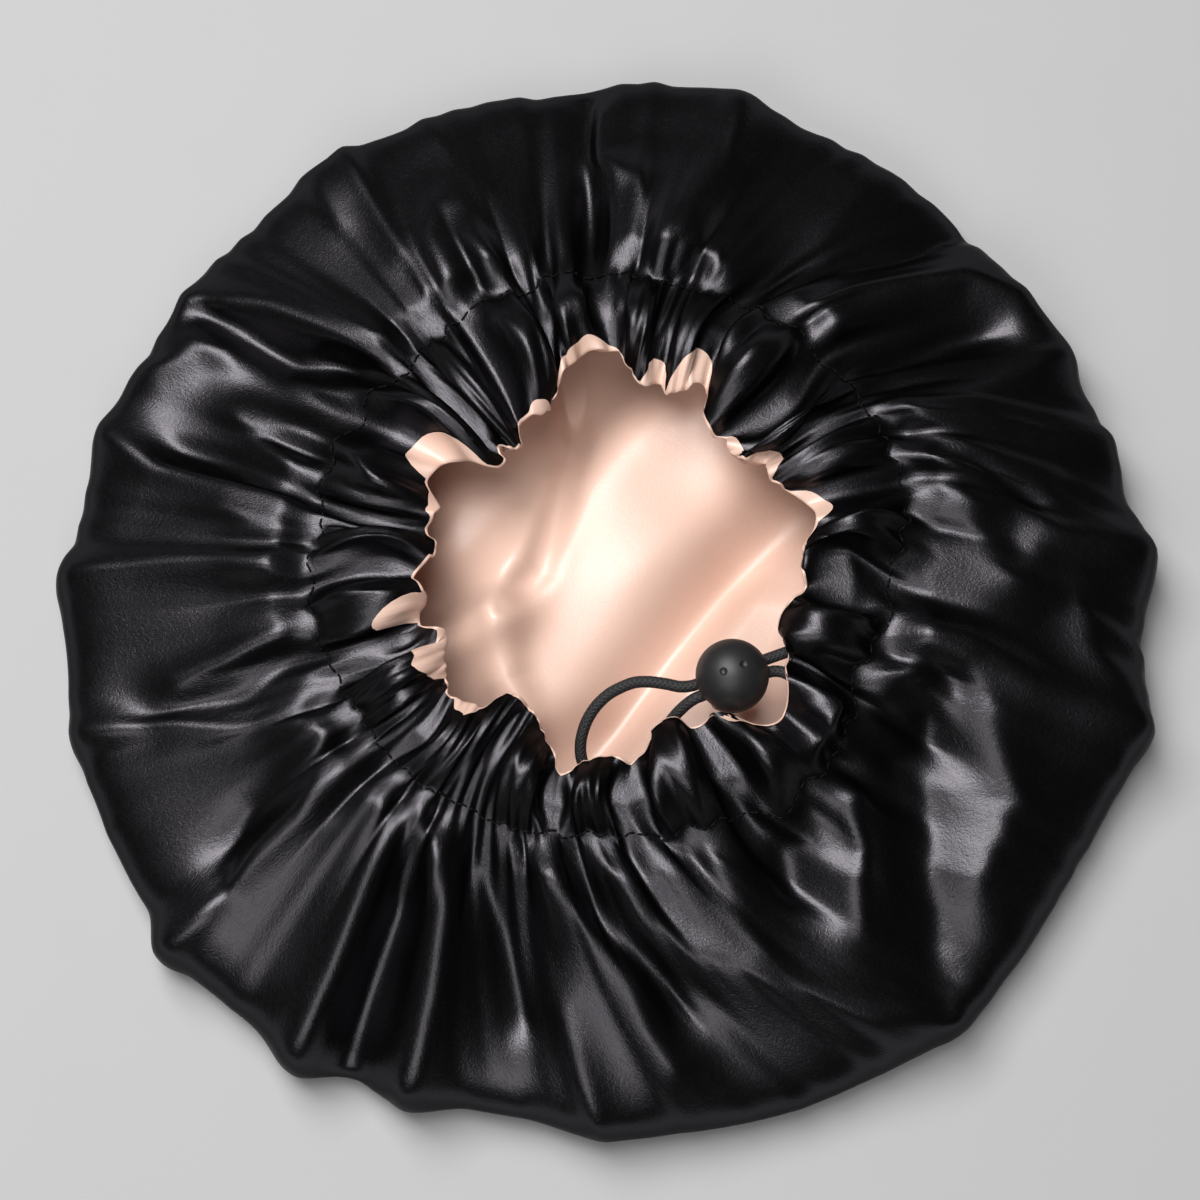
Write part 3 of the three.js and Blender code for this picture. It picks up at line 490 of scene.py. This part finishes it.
def keep_off_lock(points):
    """Keeps the cloth clear of the ball all along its travel."""
    along = np.append(LOCK_ALONG, 0)
    offset = points - LOCK_PLACE
    slide = np.clip(offset @ along, -LOCK_TRAVEL, LOCK_TRAVEL)
    offset = offset - slide[..., None] * along
    gap = np.linalg.norm(offset, axis=-1, keepdims=True) + 1e-9
    points += offset / gap * np.maximum(LOCK_CLEARANCE - gap, 0)


def settle(points, across, along, free, soften, anchor, steps, lowest, highest):
    """Lets the gathered cloth buckle into folds: it keeps its lengths, bends softly and stays in its room."""
    hold = (0.5 * free)[:, None, None]
    two_across = across + np.roll(across, -1, axis=1)
    four_across = two_across + np.roll(two_across, -2, axis=1)
    start = points.copy()
    for step in range(steps):
        for half in (0, 1):
            around(points, 1, half, across, 0.9, hold)
        for half in (0, 1):
            a, b = points[half:-1:2], points[half + 1::2]
            count = min(len(a), len(b))
            wa, wb = free[half:-1:2][:count, None, None], free[half + 1::2][:count, None, None]
            total = np.maximum(wa + wb, 1e-6)
            pull(a[:count], b[:count], along[half::2][:count], wa / total, wb / total, 0.9)
        for half in (0, 2):
            around(points, 2, half, two_across * 0.86, 0.35, hold, True)
        for half in (0, 4):
            around(points, 4, half, four_across * 0.76, 0.35, hold, True)
        smooth = (points[2:] + points[:-2]) / 2 - points[1:-1]
        points[1:-1] += smooth * soften[1:-1, None, None]
        points += (start - points) * anchor
        points[..., 2] = np.clip(points[..., 2], lowest, highest)
        keep_off_lock(points)
    return points


def finer(points):
    """Twice the rows and columns, halfway between."""
    between = (points[1:] + points[:-1]) / 2
    between[1:-1] = (9 * (points[1:-2] + points[2:-1]) - points[:-3] - points[3:]) / 16
    rows = np.empty((2 * points.shape[0] - 1, points.shape[1], 3))
    rows[::2], rows[1::2] = points, between
    fine = np.empty((rows.shape[0], 2 * rows.shape[1], 3))
    beside = np.roll(rows, -1, axis=1)
    fine[:, ::2] = rows
    fine[:, 1::2] = (9 * (rows + beside) - np.roll(rows, 1, axis=1) - np.roll(rows, -2, axis=1)) / 16
    return fine


def settle_outer():
    points = None
    for level, steps in ((4, 300), (2, 60), (1, 25)):
        base, distance, places, held = lay_out((ROWS - 1) // level + 1, COLUMNS // level)
        if points is None:
            points = base.copy()
            across, along = rest_lengths(base, distance, places)
        else:
            points = finer(points)
            points[..., 2] += 0.7 * held * (base[..., 2] - points[..., 2])
            across = even_out(np.linalg.norm(np.roll(points, -1, axis=1) - points, axis=2))
            along = np.linalg.norm(np.diff(points, axis=0), axis=2)
        free = np.clip((places[OUTLINE + 1] - distance) / 0.008, 0, 1)
        at_seam = np.exp(-((distance - places[STITCH]) / 0.0025) ** 2)
        at_hem = np.exp(-(distance / 0.003) ** 2)
        outward = np.clip((distance - places[STITCH]) / (places[OUTLINE] - places[STITCH]), 0, 1)
        keep = 0.010 + 0.08 * at_seam + 0.25 * at_hem + 0.05 * outward ** 3
        upright = 0.012 + 0.08 * at_seam + 0.10 * at_hem + 0.05 * outward ** 3
        anchor = np.stack(np.broadcast_arrays(keep[:, None], keep[:, None], upright[:, None] + 0.10 * held), axis=2).copy()
        anchor[distance > places[OUTLINE]] = 0.2
        lowest = np.interp(distance, places, LOWEST)[:, None] * MM
        highest = np.interp(distance, places, HIGHEST)[:, None] * MM
        soften = free * (0.10 - 0.06 * outward)
        points = settle(points, across, along, free, soften, anchor, steps, lowest, highest)
    return points, distance, places


def flat_map(distance, columns):
    """Each point's place on the flat disc that the cloth was cut as, in metres."""
    radius = distance[-1] - distance + UNDERSIDE_RADIUS
    angle = np.arange(columns) / columns * TURN
    return np.stack([radius[:, None] * np.cos(angle), radius[:, None] * np.sin(angle)], axis=-1).reshape(-1, 2)


def cloth(name, points, uv, pole, flip=False):
    """A sheet from closed rows of points, closed by one last point at its middle."""
    rows, columns, _ = points.shape
    index = np.arange(rows * columns).reshape(rows, columns)
    a, b = index[:-1], index[1:]
    faces = np.stack([a, b, np.roll(b, -1, axis=1), np.roll(a, -1, axis=1)], axis=-1).reshape(-1, 4).tolist()
    faces += [[int(index[-1, i]), rows * columns, int(index[-1, (i + 1) % columns])] for i in range(columns)]
    if flip:
        faces = [face[::-1] for face in faces]
    return new_piece(name, np.vstack([points.reshape(-1, 3), [pole]]), faces, np.vstack([uv, [[0, 0]]]))


def grid_normals(points):
    across = np.roll(points, -1, axis=1) - np.roll(points, 1, axis=1)
    normal = np.cross(across, np.gradient(points, axis=0))
    normal /= np.linalg.norm(normal, axis=-1, keepdims=True) + 1e-12
    return normal * np.where(normal[..., 2:].mean() < 0, -1, 1)


outer_points, outer_distance, outer_places = settle_outer()
outer = cloth("outer_cloth", outer_points, flat_map(outer_distance, COLUMNS), (0, 0, 0.0004))
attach(outer, "bonnet")
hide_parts("outer_satin")


# Lining: rolled over the hem, under the ruffle, down inside the skirt and over the floor of the cap

# Where the lining rolls out over the hem: angle, half width in degrees, reach in mm
ROLLS = [(95, 9, 4.5), (75, 4, 7), (65, 6, 11), (146, 7, 12), (112, 4, 3), (33, 5, 5), (44, 4, 3), (17, 6, 6),
         (193, 4, 16), (209, 7, 11), (226, 4, 5), (309, 4, 4), (160, 4, 3)]
# Soft folds on the cap's floor, in pixels of the photograph: points, height in mm, width to the left and right in
# mm, and how steep its sides are
FLOOR_STROKES = [
    ([(480, 420), (485, 480), (480, 545)], 13, 20, 21, 3),
    ([(566, 350), (576, 440), (560, 507), (537, 578), (507, 617)], -4, 5, 4, 2.5),
    ([(425, 650), (470, 640), (505, 625)], 7, 8, 8, 2.5), ([(500, 625), (505, 690), (525, 730)], 5, 6, 6, 2.5),
    ([(735, 390), (700, 450), (645, 520), (590, 590), (540, 655)], 17, 26, 28, 4.5),
]
FLOOR_PIXEL_LEVEL = 10 * MM
HUMP_HEIGHT, HUMP_RADIUS, HUMP_WIDTH = 15 * MM, 66 * MM, 24 * MM
HUMP_MIDDLE, HUMP_HALF, HUMP_FADE = 312, 42, 34
WALL_PIXELS = [(793, 507), (732, 601), (681, 665), (612, 742)]
LAYER_GAP = 1.3 * MM
OVERTURNED_DROP = 3 * MM
CHANNEL_FLOOR = 40 * MM
EXIT_MIDDLE, EXIT_HALF = 332, 14


def floor_level(x, y):
    """Height of the lining where it lies in the bottom of the cap."""
    level = 3.6 * MM + 0.9 * MM * np.sin(95 * x + 60 * y) + 0.7 * MM * np.sin(150 * y - 70 * x + 1)
    for pixels, height, left, right, power in FLOOR_STROKES:
        u, v = np.array(pixels, float).T
        px, py = at_pixel(u, v, FLOOR_PIXEL_LEVEL)
        best, sign = np.full(x.shape, 1e9), np.zeros(x.shape)
        for i in range(len(px) - 1):
            dx, dy = px[i + 1] - px[i], py[i + 1] - py[i]
            t = np.clip(((x - px[i]) * dx + (y - py[i]) * dy) / (dx * dx + dy * dy), 0, 1)
            ox, oy = x - px[i] - t * dx, y - py[i] - t * dy
            gap = np.hypot(ox, oy)
            sign = np.where(gap < best, (dx * oy - dy * ox) / (np.hypot(dx, dy) * (gap + 1e-9)), sign)
            best = np.minimum(gap, best)
        width = (left * (1 + sign) + right * (1 - sign)) / 2 * MM
        level += height * MM * np.exp(-(best / width) ** power)
    wx, wy = at_pixel(*np.array(WALL_PIXELS, float).T, FLOOR_PIXEL_LEVEL)
    dx, dy = wx[-1] - wx[0], wy[-1] - wy[0]
    beyond = ((x - wx[0]) * dy - (y - wy[0]) * dx) / math.hypot(dx, dy)
    middle = (wy[0] * dx - wx[0] * dy) / math.hypot(dx, dy)
    radius, degrees = np.hypot(x, y), np.degrees(np.arctan2(y, x)) % 360
    aside = (np.abs((degrees - HUMP_MIDDLE + 180) % 360 - 180) - HUMP_HALF) / HUMP_FADE
    rise = HUMP_HEIGHT * (1 - smoothstep(aside)) * (1 - smoothstep((radius - HUMP_RADIUS) / (1.6 * HUMP_WIDTH)))
    wall = smoothstep((3 * MM - math.copysign(1, middle) * beyond) / (14 * MM))
    return np.maximum(level + rise * wall, 1.5 * MM)


def lining_rows():
    """The lining's rows from its rolled edge to the middle of the cap."""
    normal = grid_normals(outer_points)
    last = int(np.argmin(np.abs(outer_distance - outer_places[OUTLINE])))
    hem_angle = np.degrees(np.arctan2(outer_points[0, :, 1], outer_points[0, :, 0])) % 360
    reach = np.full(COLUMNS, 0.35)
    for degrees, half, length in ROLLS:
        aside = np.abs((hem_angle - degrees + 180) % 360 - 180) / half
        reach = np.maximum(reach, length * np.clip(1 - aside ** 2, 0, 1))
    rows = []
    for share in np.linspace(1, 0.1, 8):
        place = reach * MM * share / (outer_distance[1] - outer_distance[0])
        low = np.clip(place.astype(int), 0, 8)
        part = (place - low)[:, None]
        column = np.arange(COLUMNS)
        top = outer_points[low, column] * (1 - part) + outer_points[low + 1, column] * part
        rows.append(top + normal[low, column] * 0.3 * MM)
    inward = outer_points[0] - outer_points[1]
    inward /= np.linalg.norm(inward, axis=1)[:, None]
    rows.append(outer_points[0] + normal[0] * 0.25 * MM + inward * 0.3 * MM)
    rows.append(outer_points[0] + inward * 0.5 * MM)
    rows.append(outer_points[0] - normal[0] * 0.5 * MM + inward * 0.4 * MM)
    under = outer_points[1:last] - normal[1:last] * LAYER_GAP
    for step in (1, 2, 3, 4):
        under[..., 2] = np.minimum(under[..., 2], outer_points[1:last, :, 2] - LAYER_GAP)
        beside = np.minimum(np.roll(under[..., 2], step, axis=1), np.roll(under[..., 2], -step, axis=1))
        under[..., 2] = np.minimum(under[..., 2], beside)
    under[..., 2] -= OVERTURNED_DROP * smoothstep((0.35 - normal[1:last, :, 2]) / 0.3)
    radius = np.hypot(under[..., 0], under[..., 1] - MOUTH_OFFSET)
    degrees = np.degrees(np.arctan2(under[..., 1] - MOUTH_OFFSET, under[..., 0])) % 360
    channel = 1 - smoothstep((np.abs(radius - CORD_RING_RADIUS) - 3 * MM) / (5 * MM))
    exits = 1 - smoothstep((np.abs((degrees - EXIT_MIDDLE + 180) % 360 - 180) - EXIT_HALF) / 6)
    channel = np.maximum(channel, exits * (radius < CORD_RING_RADIUS))
    under[..., 2] = np.where(under[..., 2] > CHANNEL_FLOOR,
                             under[..., 2] + (CHANNEL_FLOOR - under[..., 2]) * channel, under[..., 2])
    rows += list(under)
    edge = under[-1]
    for share in np.concatenate([[0.985, 0.96], np.linspace(0.93, 0.015, 90)]):
        x, y = edge[:, 0] * share, edge[:, 1] * share
        drop = smoothstep((1 - share) / 0.06)
        rows.append(np.stack([x, y, edge[:, 2] * (1 - drop) + floor_level(x, y) * drop], axis=1))
    rows = np.array(rows)
    for _ in range(8):
        gap = np.linalg.norm(rows - LOCK_PLACE, axis=-1)[1:-1, :, None]
        average = (rows[2:] + rows[:-2] + np.roll(rows, 1, axis=1)[1:-1] + np.roll(rows, -1, axis=1)[1:-1]) / 4
        rows[1:-1] += (average - rows[1:-1]) * 0.5 * np.clip((20 * MM - gap) / (5 * MM), 0, 1)
        keep_off_lock(rows)
    return rows


lining_points = lining_rows()
lining_steps = np.linalg.norm(np.diff(lining_points, axis=0), axis=2).mean(axis=1)
lining_distance = np.concatenate([[0], np.cumsum(lining_steps)])
lining_radius = lining_distance[-1] - lining_distance
lining_angle = np.arange(COLUMNS) / COLUMNS * TURN
lining_uv = np.stack([lining_radius[:, None] * np.cos(lining_angle), lining_radius[:, None] * np.sin(lining_angle)],
                     axis=-1).reshape(-1, 2)
lining = cloth("lining_cloth", lining_points, lining_uv, lining_points[-1].mean(axis=0), flip=True)
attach(lining, "bonnet")
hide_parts("lining_satin")

# Threads: one line of stitches on the channel, and the seam inside the hem
STITCH_LENGTH, STITCH_GAP = 3.0 * MM, 1.0 * MM
seam_row = int(np.argmin(np.abs(outer_distance - outer_places[STITCH])))
seam_line = outer_points[seam_row] + grid_normals(outer_points)[seam_row] * 0.25 * MM
seam_line = np.vstack([seam_line, seam_line[:1]])
seam_run = np.concatenate([[0], np.cumsum(np.linalg.norm(np.diff(seam_line, axis=0), axis=1))])
stitches = []
for number in range(int(seam_run[-1] / (STITCH_LENGTH + STITCH_GAP))):
    wanted = number * (STITCH_LENGTH + STITCH_GAP) + np.linspace(0, STITCH_LENGTH, 5)
    place = np.stack([np.interp(wanted, seam_run, seam_line[:, axis]) for axis in range(3)], axis=1)
    place[[0, -1], 2] -= 0.35 * MM
    stitches.append(tube(f"stitch_{number:03d}", place, 0.32 * MM, 6))
bpy.ops.object.select_all(action="DESELECT")
for stitch in stitches:
    stitch.select_set(True)
bpy.context.view_layer.objects.active = stitches[0]
bpy.ops.object.join()
stitching = stitches[0]
stitching.name = "channel_stitches"
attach(stitching, "bonnet")
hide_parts("casing_stitching")
hem_line = outer_points[1] - grid_normals(outer_points)[1] * 0.65 * MM
hem_thread = tube("hem_thread", hem_line[::3], 0.2 * MM, 6, closed=True)
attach(hem_thread, "bonnet")
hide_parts("hem_seam_thread")


def area_of(piece):
    return sum(polygon.area for polygon in piece.data.polygons)


for piece in (outer, lining):
    side = 2 * math.sqrt(area_of(piece) / math.pi)


# Cord lock: a ball with two flat sides, a slot for both strands and a bore for the button
BALL_RADIUS, BALL_FOOT, BALL_DEPTH = 10.5 * MM, 9.5 * MM, 14 * MM
BORE_RADIUS, BORE_CEILING, BORE_CHAMFER = 6.3 * MM, 7.5 * MM, 0.6 * MM
FLAT_HALF_WIDTH, FLAT_TOP = 7.8 * MM, 1 * MM
SLOT_HALF_WIDTH, SLOT_HALF_HEIGHT, SLOT_LEVEL = 3.85 * MM, 2.0 * MM, -3.5 * MM
DIMPLE_RADIUS, DIMPLE_SPAN, DIMPLE_DEPTH = 1.5 * MM, 6.6 * MM, 0.6 * MM
CUT_OVERRUN = 4 * MM
BALL_SIDES = 96


def turned(name, profile):
    """A solid of revolution about Z whose profile starts and ends on the axis."""
    turn = np.arange(BALL_SIDES) / BALL_SIDES * TURN
    rings = [(r, z) for r, z in profile if r > 0]
    vertices = [(r * math.cos(a), r * math.sin(a), z) for r, z in rings for a in turn]
    index = np.arange(len(vertices)).reshape(len(rings), BALL_SIDES)
    a, b = index[:-1], index[1:]
    faces = np.stack([a, np.roll(a, -1, axis=1), np.roll(b, -1, axis=1), b], axis=-1).reshape(-1, 4).tolist()
    for ring, (radius, level), flip in ((index[0], profile[0], True), (index[-1], profile[-1], False)):
        vertices.append((0, 0, level))
        for i in range(BALL_SIDES):
            face = [int(ring[i]), int(ring[(i + 1) % BALL_SIDES]), len(vertices) - 1]
            faces.append(face[::-1] if flip else face)
    return new_piece(name, vertices, faces)


def prism(name, outline, start, end):
    """An outline in Y and Z, drawn out along X."""
    count = len(outline)
    vertices = [(x, y, z) for x in (start, end) for y, z in outline]
    faces = [list(range(count))[::-1], list(range(count, 2 * count))]
    faces += [[i, (i + 1) % count, count + (i + 1) % count, count + i] for i in range(count)]
    return new_piece(name, vertices, faces)


def slot_outline(grow):
    """A slot's round-ended outline across the cords."""
    height = SLOT_HALF_HEIGHT + grow
    straight = SLOT_HALF_WIDTH - SLOT_HALF_HEIGHT
    points = []
    for side, start in ((1, -math.pi / 2), (-1, math.pi / 2)):
        for step in range(17):
            angle = start + math.pi * step / 16
            points.append((side * straight + height * math.cos(angle), SLOT_LEVEL + height * math.sin(angle)))
    return points


def make_lock():
    arc = [(BALL_RADIUS * math.cos(a), BALL_RADIUS * math.sin(a)) for a in np.linspace(0, math.pi / 2, 40)[1:-1]]
    lower = [(BALL_RADIUS * math.sqrt(1 - (z / BALL_DEPTH) ** 2), z) for z in np.linspace(-BALL_FOOT, 0, 30)]
    bore = [(0, BORE_CEILING), (BORE_RADIUS, BORE_CEILING), (BORE_RADIUS, BORE_CHAMFER - BALL_FOOT),
            (BORE_RADIUS + BORE_CHAMFER, -BALL_FOOT)]
    ball = turned("lock_ball", bore + lower + arc + [(0, BALL_RADIUS)])
    cutters = [prism("slot_cut", slot_outline(0), -2 * BALL_RADIUS, 2 * BALL_RADIUS)]
    far = BALL_RADIUS + CUT_OVERRUN
    for side in (1, -1):
        side_cut = [(-far, -far), (far, -far), (far, FLAT_TOP), (-far, FLAT_TOP)]
        ends = sorted((side * FLAT_HALF_WIDTH, side * far))
        cutters.append(prism("flat_cut", side_cut, *ends))
        bpy.ops.mesh.primitive_uv_sphere_add(radius=DIMPLE_RADIUS, segments=32, ring_count=16)
        dimple = bpy.context.object
        reach = DIMPLE_SPAN / 2
        level = math.sqrt(BALL_RADIUS ** 2 - reach ** 2) + DIMPLE_RADIUS - DIMPLE_DEPTH
        dimple.data.transform(Matrix.Translation((side * reach, 0, level)))
        cutters.append(dimple)
    for cutter in cutters:
        cut = ball.modifiers.new("cut", "BOOLEAN")
        cut.operation, cut.solver, cut.object = "DIFFERENCE", "EXACT", cutter
    edge = ball.modifiers.new("edge", "BEVEL")
    edge.width, edge.segments, edge.limit_method, edge.angle_limit = 0.35 * MM, 3, "ANGLE", math.radians(35)
    bpy.context.view_layer.update()
    made = bpy.data.meshes.new_from_object(ball.evaluated_get(bpy.context.evaluated_depsgraph_get()))
    ball.modifiers.clear()
    ball.data = made
    for cutter in cutters:
        bpy.data.objects.remove(cutter)
    made.transform(Matrix.Translation(LOCK_PLACE) @ Matrix.Rotation(LOCK_TURN, 4, "Z"))
    made.shade_smooth()
    made.set_sharp_from_angle(angle=math.radians(40))
    return ball


lock = make_lock()
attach(lock, "lock")
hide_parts("lock_body")

# Spring: closed end turns and open middle turns, built at one length. Pressing the button would shorten it towards the
# bore's ceiling
SPRING_RADIUS, SPRING_WIRE_RADIUS = 3.6 * MM, 0.4 * MM
SPRING_BOTTOM, SPRING_TOP, SPRING_FIXED_END = 46.27 * MM, 52.93 * MM, 53.35 * MM
SPRING_OPEN_TURNS, SPRING_CLOSED_PITCH, SPRING_KEPT = 4, 1.15 * MM, 0.53


def make_spring():
    turns = SPRING_OPEN_TURNS + 2
    turn = np.linspace(0, turns, turns * 28 + 1)
    open_rise = SPRING_TOP - SPRING_BOTTOM - 2 * SPRING_CLOSED_PITCH
    closed = np.minimum(turn, 1) + np.maximum(turn - turns + 1, 0)
    level = SPRING_BOTTOM + closed * SPRING_CLOSED_PITCH + np.clip((turn - 1) / SPRING_OPEN_TURNS, 0, 1) * open_rise
    path = np.stack([LOCK_PLACE[0] + SPRING_RADIUS * np.cos(TURN * turn),
                     LOCK_PLACE[1] + SPRING_RADIUS * np.sin(TURN * turn), level], axis=1)
    return tube("return_spring", path, SPRING_WIRE_RADIUS, 12)


spring = make_spring()
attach(spring, "lock")
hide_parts("lock_spring")
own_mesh(spring)


# Materials

def new_material(name, colour, roughness, specular=0.5):
    material = bpy.data.materials.new(name)
    material.use_nodes = True
    shader = material.node_tree.nodes["Principled BSDF"]
    shader.inputs["Base Color"].default_value = (*colour, 1)
    shader.inputs["Roughness"].default_value = roughness
    shader.inputs["Specular IOR Level"].default_value = specular
    return material


def node(material, kind, **values):
    made = material.node_tree.nodes.new(kind)
    for name, value in values.items():
        if name in made.inputs:
            made.inputs[name].default_value = value
        else:
            setattr(made, name, value)
    return made


def link(material, source, output, target, socket):
    material.node_tree.links.new(source.outputs[output], target.inputs[socket])


def colour_noise(material, place, scale, dark, light, detail=3.0):
    shader = material.node_tree.nodes["Principled BSDF"]
    noise = node(material, "ShaderNodeTexNoise", Scale=scale, Detail=detail, Roughness=0.5)
    mix = node(material, "ShaderNodeMix", data_type="RGBA")
    mix.inputs["A"].default_value, mix.inputs["B"].default_value = (*dark, 1), (*light, 1)
    material.node_tree.links.new(place, noise.inputs["Vector"])
    material.node_tree.links.new(noise.outputs["Fac"], mix.inputs["Factor"])
    material.node_tree.links.new(mix.outputs["Result"], shader.inputs["Base Color"])


def satin(name, dark, light, roughness, specular, relief):
    """Satin with a fine crepe relief on its flat map, and slightly uneven gloss."""
    material = new_material(name, dark, roughness, specular)
    shader = material.node_tree.nodes["Principled BSDF"]
    place = node(material, "ShaderNodeTexCoord").outputs["UV"]
    colour_noise(material, place, 60.0, dark, light)
    crepe = node(material, "ShaderNodeTexNoise", Scale=620.0, Detail=1.5, Roughness=0.5, Distortion=1.6)
    bump = node(material, "ShaderNodeBump", Strength=relief, Distance=0.00025)
    gloss = node(material, "ShaderNodeMapRange")
    gloss.inputs["To Min"].default_value, gloss.inputs["To Max"].default_value = roughness - 0.04, roughness + 0.06
    material.node_tree.links.new(place, crepe.inputs["Vector"])
    link(material, crepe, "Fac", bump, "Height")
    link(material, crepe, "Fac", gloss, "Value")
    link(material, gloss, "Result", shader, "Roughness")
    link(material, bump, "Normal", shader, "Normal")
    return material


def braid(name, dark, light):
    """Two crossing sets of slanting yarns round a cord."""
    material = new_material(name, dark, 0.6, 0.4)
    shader = material.node_tree.nodes["Principled BSDF"]
    place = node(material, "ShaderNodeTexCoord").outputs["UV"]
    colour_noise(material, place, 900.0, dark, light)
    heights = []
    for slant in (0.85, -0.85):
        turned = node(material, "ShaderNodeMapping")
        turned.inputs["Rotation"].default_value = (0, 0, slant)
        wave = node(material, "ShaderNodeTexWave", Scale=330.0, Distortion=0.4)
        material.node_tree.links.new(place, turned.inputs["Vector"])
        link(material, turned, "Vector", wave, "Vector")
        heights.append(wave)
    add = node(material, "ShaderNodeMath", operation="MAXIMUM")
    material.node_tree.links.new(heights[0].outputs["Fac"], add.inputs[0])
    material.node_tree.links.new(heights[1].outputs["Fac"], add.inputs[1])
    bump = node(material, "ShaderNodeBump", Strength=0.7, Distance=0.00025)
    link(material, add, "Value", bump, "Height")
    link(material, bump, "Normal", shader, "Normal")
    return material


def moulded(name, dark, light, roughness):
    """Moulded plastic: a very fine spark texture and slightly uneven colour."""
    material = new_material(name, dark, roughness, 0.5)
    shader = material.node_tree.nodes["Principled BSDF"]
    place = node(material, "ShaderNodeTexCoord").outputs["Object"]
    colour_noise(material, place, 400.0, dark, light)
    grain = node(material, "ShaderNodeTexNoise", Scale=2600.0, Detail=2.0)
    bump = node(material, "ShaderNodeBump", Strength=0.12, Distance=0.0001)
    material.node_tree.links.new(place, grain.inputs["Vector"])
    link(material, grain, "Fac", bump, "Height")
    link(material, bump, "Normal", shader, "Normal")
    return material


def set_material(piece, material):
    piece.data.materials.clear()
    piece.data.materials.append(material)


black_satin = satin("black_satin", (0.039, 0.037, 0.040), (0.053, 0.050, 0.055), 0.33, 0.5, 0.35)
black_shader = black_satin.node_tree.nodes["Principled BSDF"]
black_shader.inputs["Metallic"].default_value = 1.0
black_shader.inputs["Specular Tint"].default_value = (0.42, 0.42, 0.42, 1)
rose_satin = satin("rose_satin", (0.70, 0.47, 0.375), (0.75, 0.51, 0.41), 0.40, 0.8, 0.2)
cord_braid = braid("cord_braid", (0.010, 0.010, 0.011), (0.020, 0.020, 0.021))
thread_black = braid("thread_black", (0.003, 0.003, 0.003), (0.007, 0.006, 0.007))
thread_black.node_tree.nodes["Principled BSDF"].inputs["Specular IOR Level"].default_value = 0.1
ball_plastic = moulded("ball_plastic", (0.012, 0.012, 0.013), (0.016, 0.016, 0.017), 0.48)
steel = moulded("spring_steel", (0.45, 0.45, 0.46), (0.60, 0.60, 0.61), 0.28)
steel.node_tree.nodes["Principled BSDF"].inputs["Metallic"].default_value = 1.0
set_material(outer, black_satin)
set_material(lining, rose_satin)
for piece in (loop, *runs):
    set_material(piece, cord_braid)
for piece in (stitching, hem_thread):
    set_material(piece, thread_black)
set_material(lock, ball_plastic)
set_material(spring, steel)
for name, material in (("lock_plunger", ball_plastic),
                       ("cord_joint_sleeve", ball_plastic)):
    set_material(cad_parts[name], material)

# Floor and light
floor_mesh = bpy.data.meshes.new("floor")
floor_mesh.from_pydata([(-3, -3, 0), (3, -3, 0), (3, 3, 0), (-3, 3, 0)], [], [(0, 1, 2, 3)])
floor = bpy.data.objects.new("floor", floor_mesh)
bpy.context.scene.collection.objects.link(floor)
floor_paint = new_material("floor_paint", (0.44, 0.44, 0.44), 0.9, 0.2)
colour_noise(floor_paint, node(floor_paint, "ShaderNodeTexCoord").outputs["Object"], 30.0,
             (0.436, 0.436, 0.436), (0.444, 0.444, 0.444))
set_material(floor, floor_paint)


def area_light(name, place, size, power):
    data = bpy.data.lights.new(name, "AREA")
    data.shape = "RECTANGLE"
    data.size, data.size_y = size
    data.energy = power
    light = bpy.data.objects.new(name, data)
    bpy.context.scene.collection.objects.link(light)
    light.location = place
    light.rotation_euler = (Vector((0, 0, 0)) - Vector(place)).to_track_quat("-Z", "Y").to_euler()
    return light


area_light("key", (-0.5, 0.55, 1.5), (0.9, 0.8), 25)
area_light("overhead", (-0.15, 0.05, 1.7), (0.6, 0.6), 12)
area_light("fill", (-0.35, -0.95, 1.3), (1.2, 0.7), 8)
world = bpy.data.worlds.new("world")
bpy.context.scene.world = world
world.use_nodes = True
world.node_tree.nodes["Background"].inputs["Color"].default_value = (0.95, 0.97, 1, 1)
world.node_tree.nodes["Background"].inputs["Strength"].default_value = 0.03

bpy.context.scene.view_settings.view_transform = "Standard"
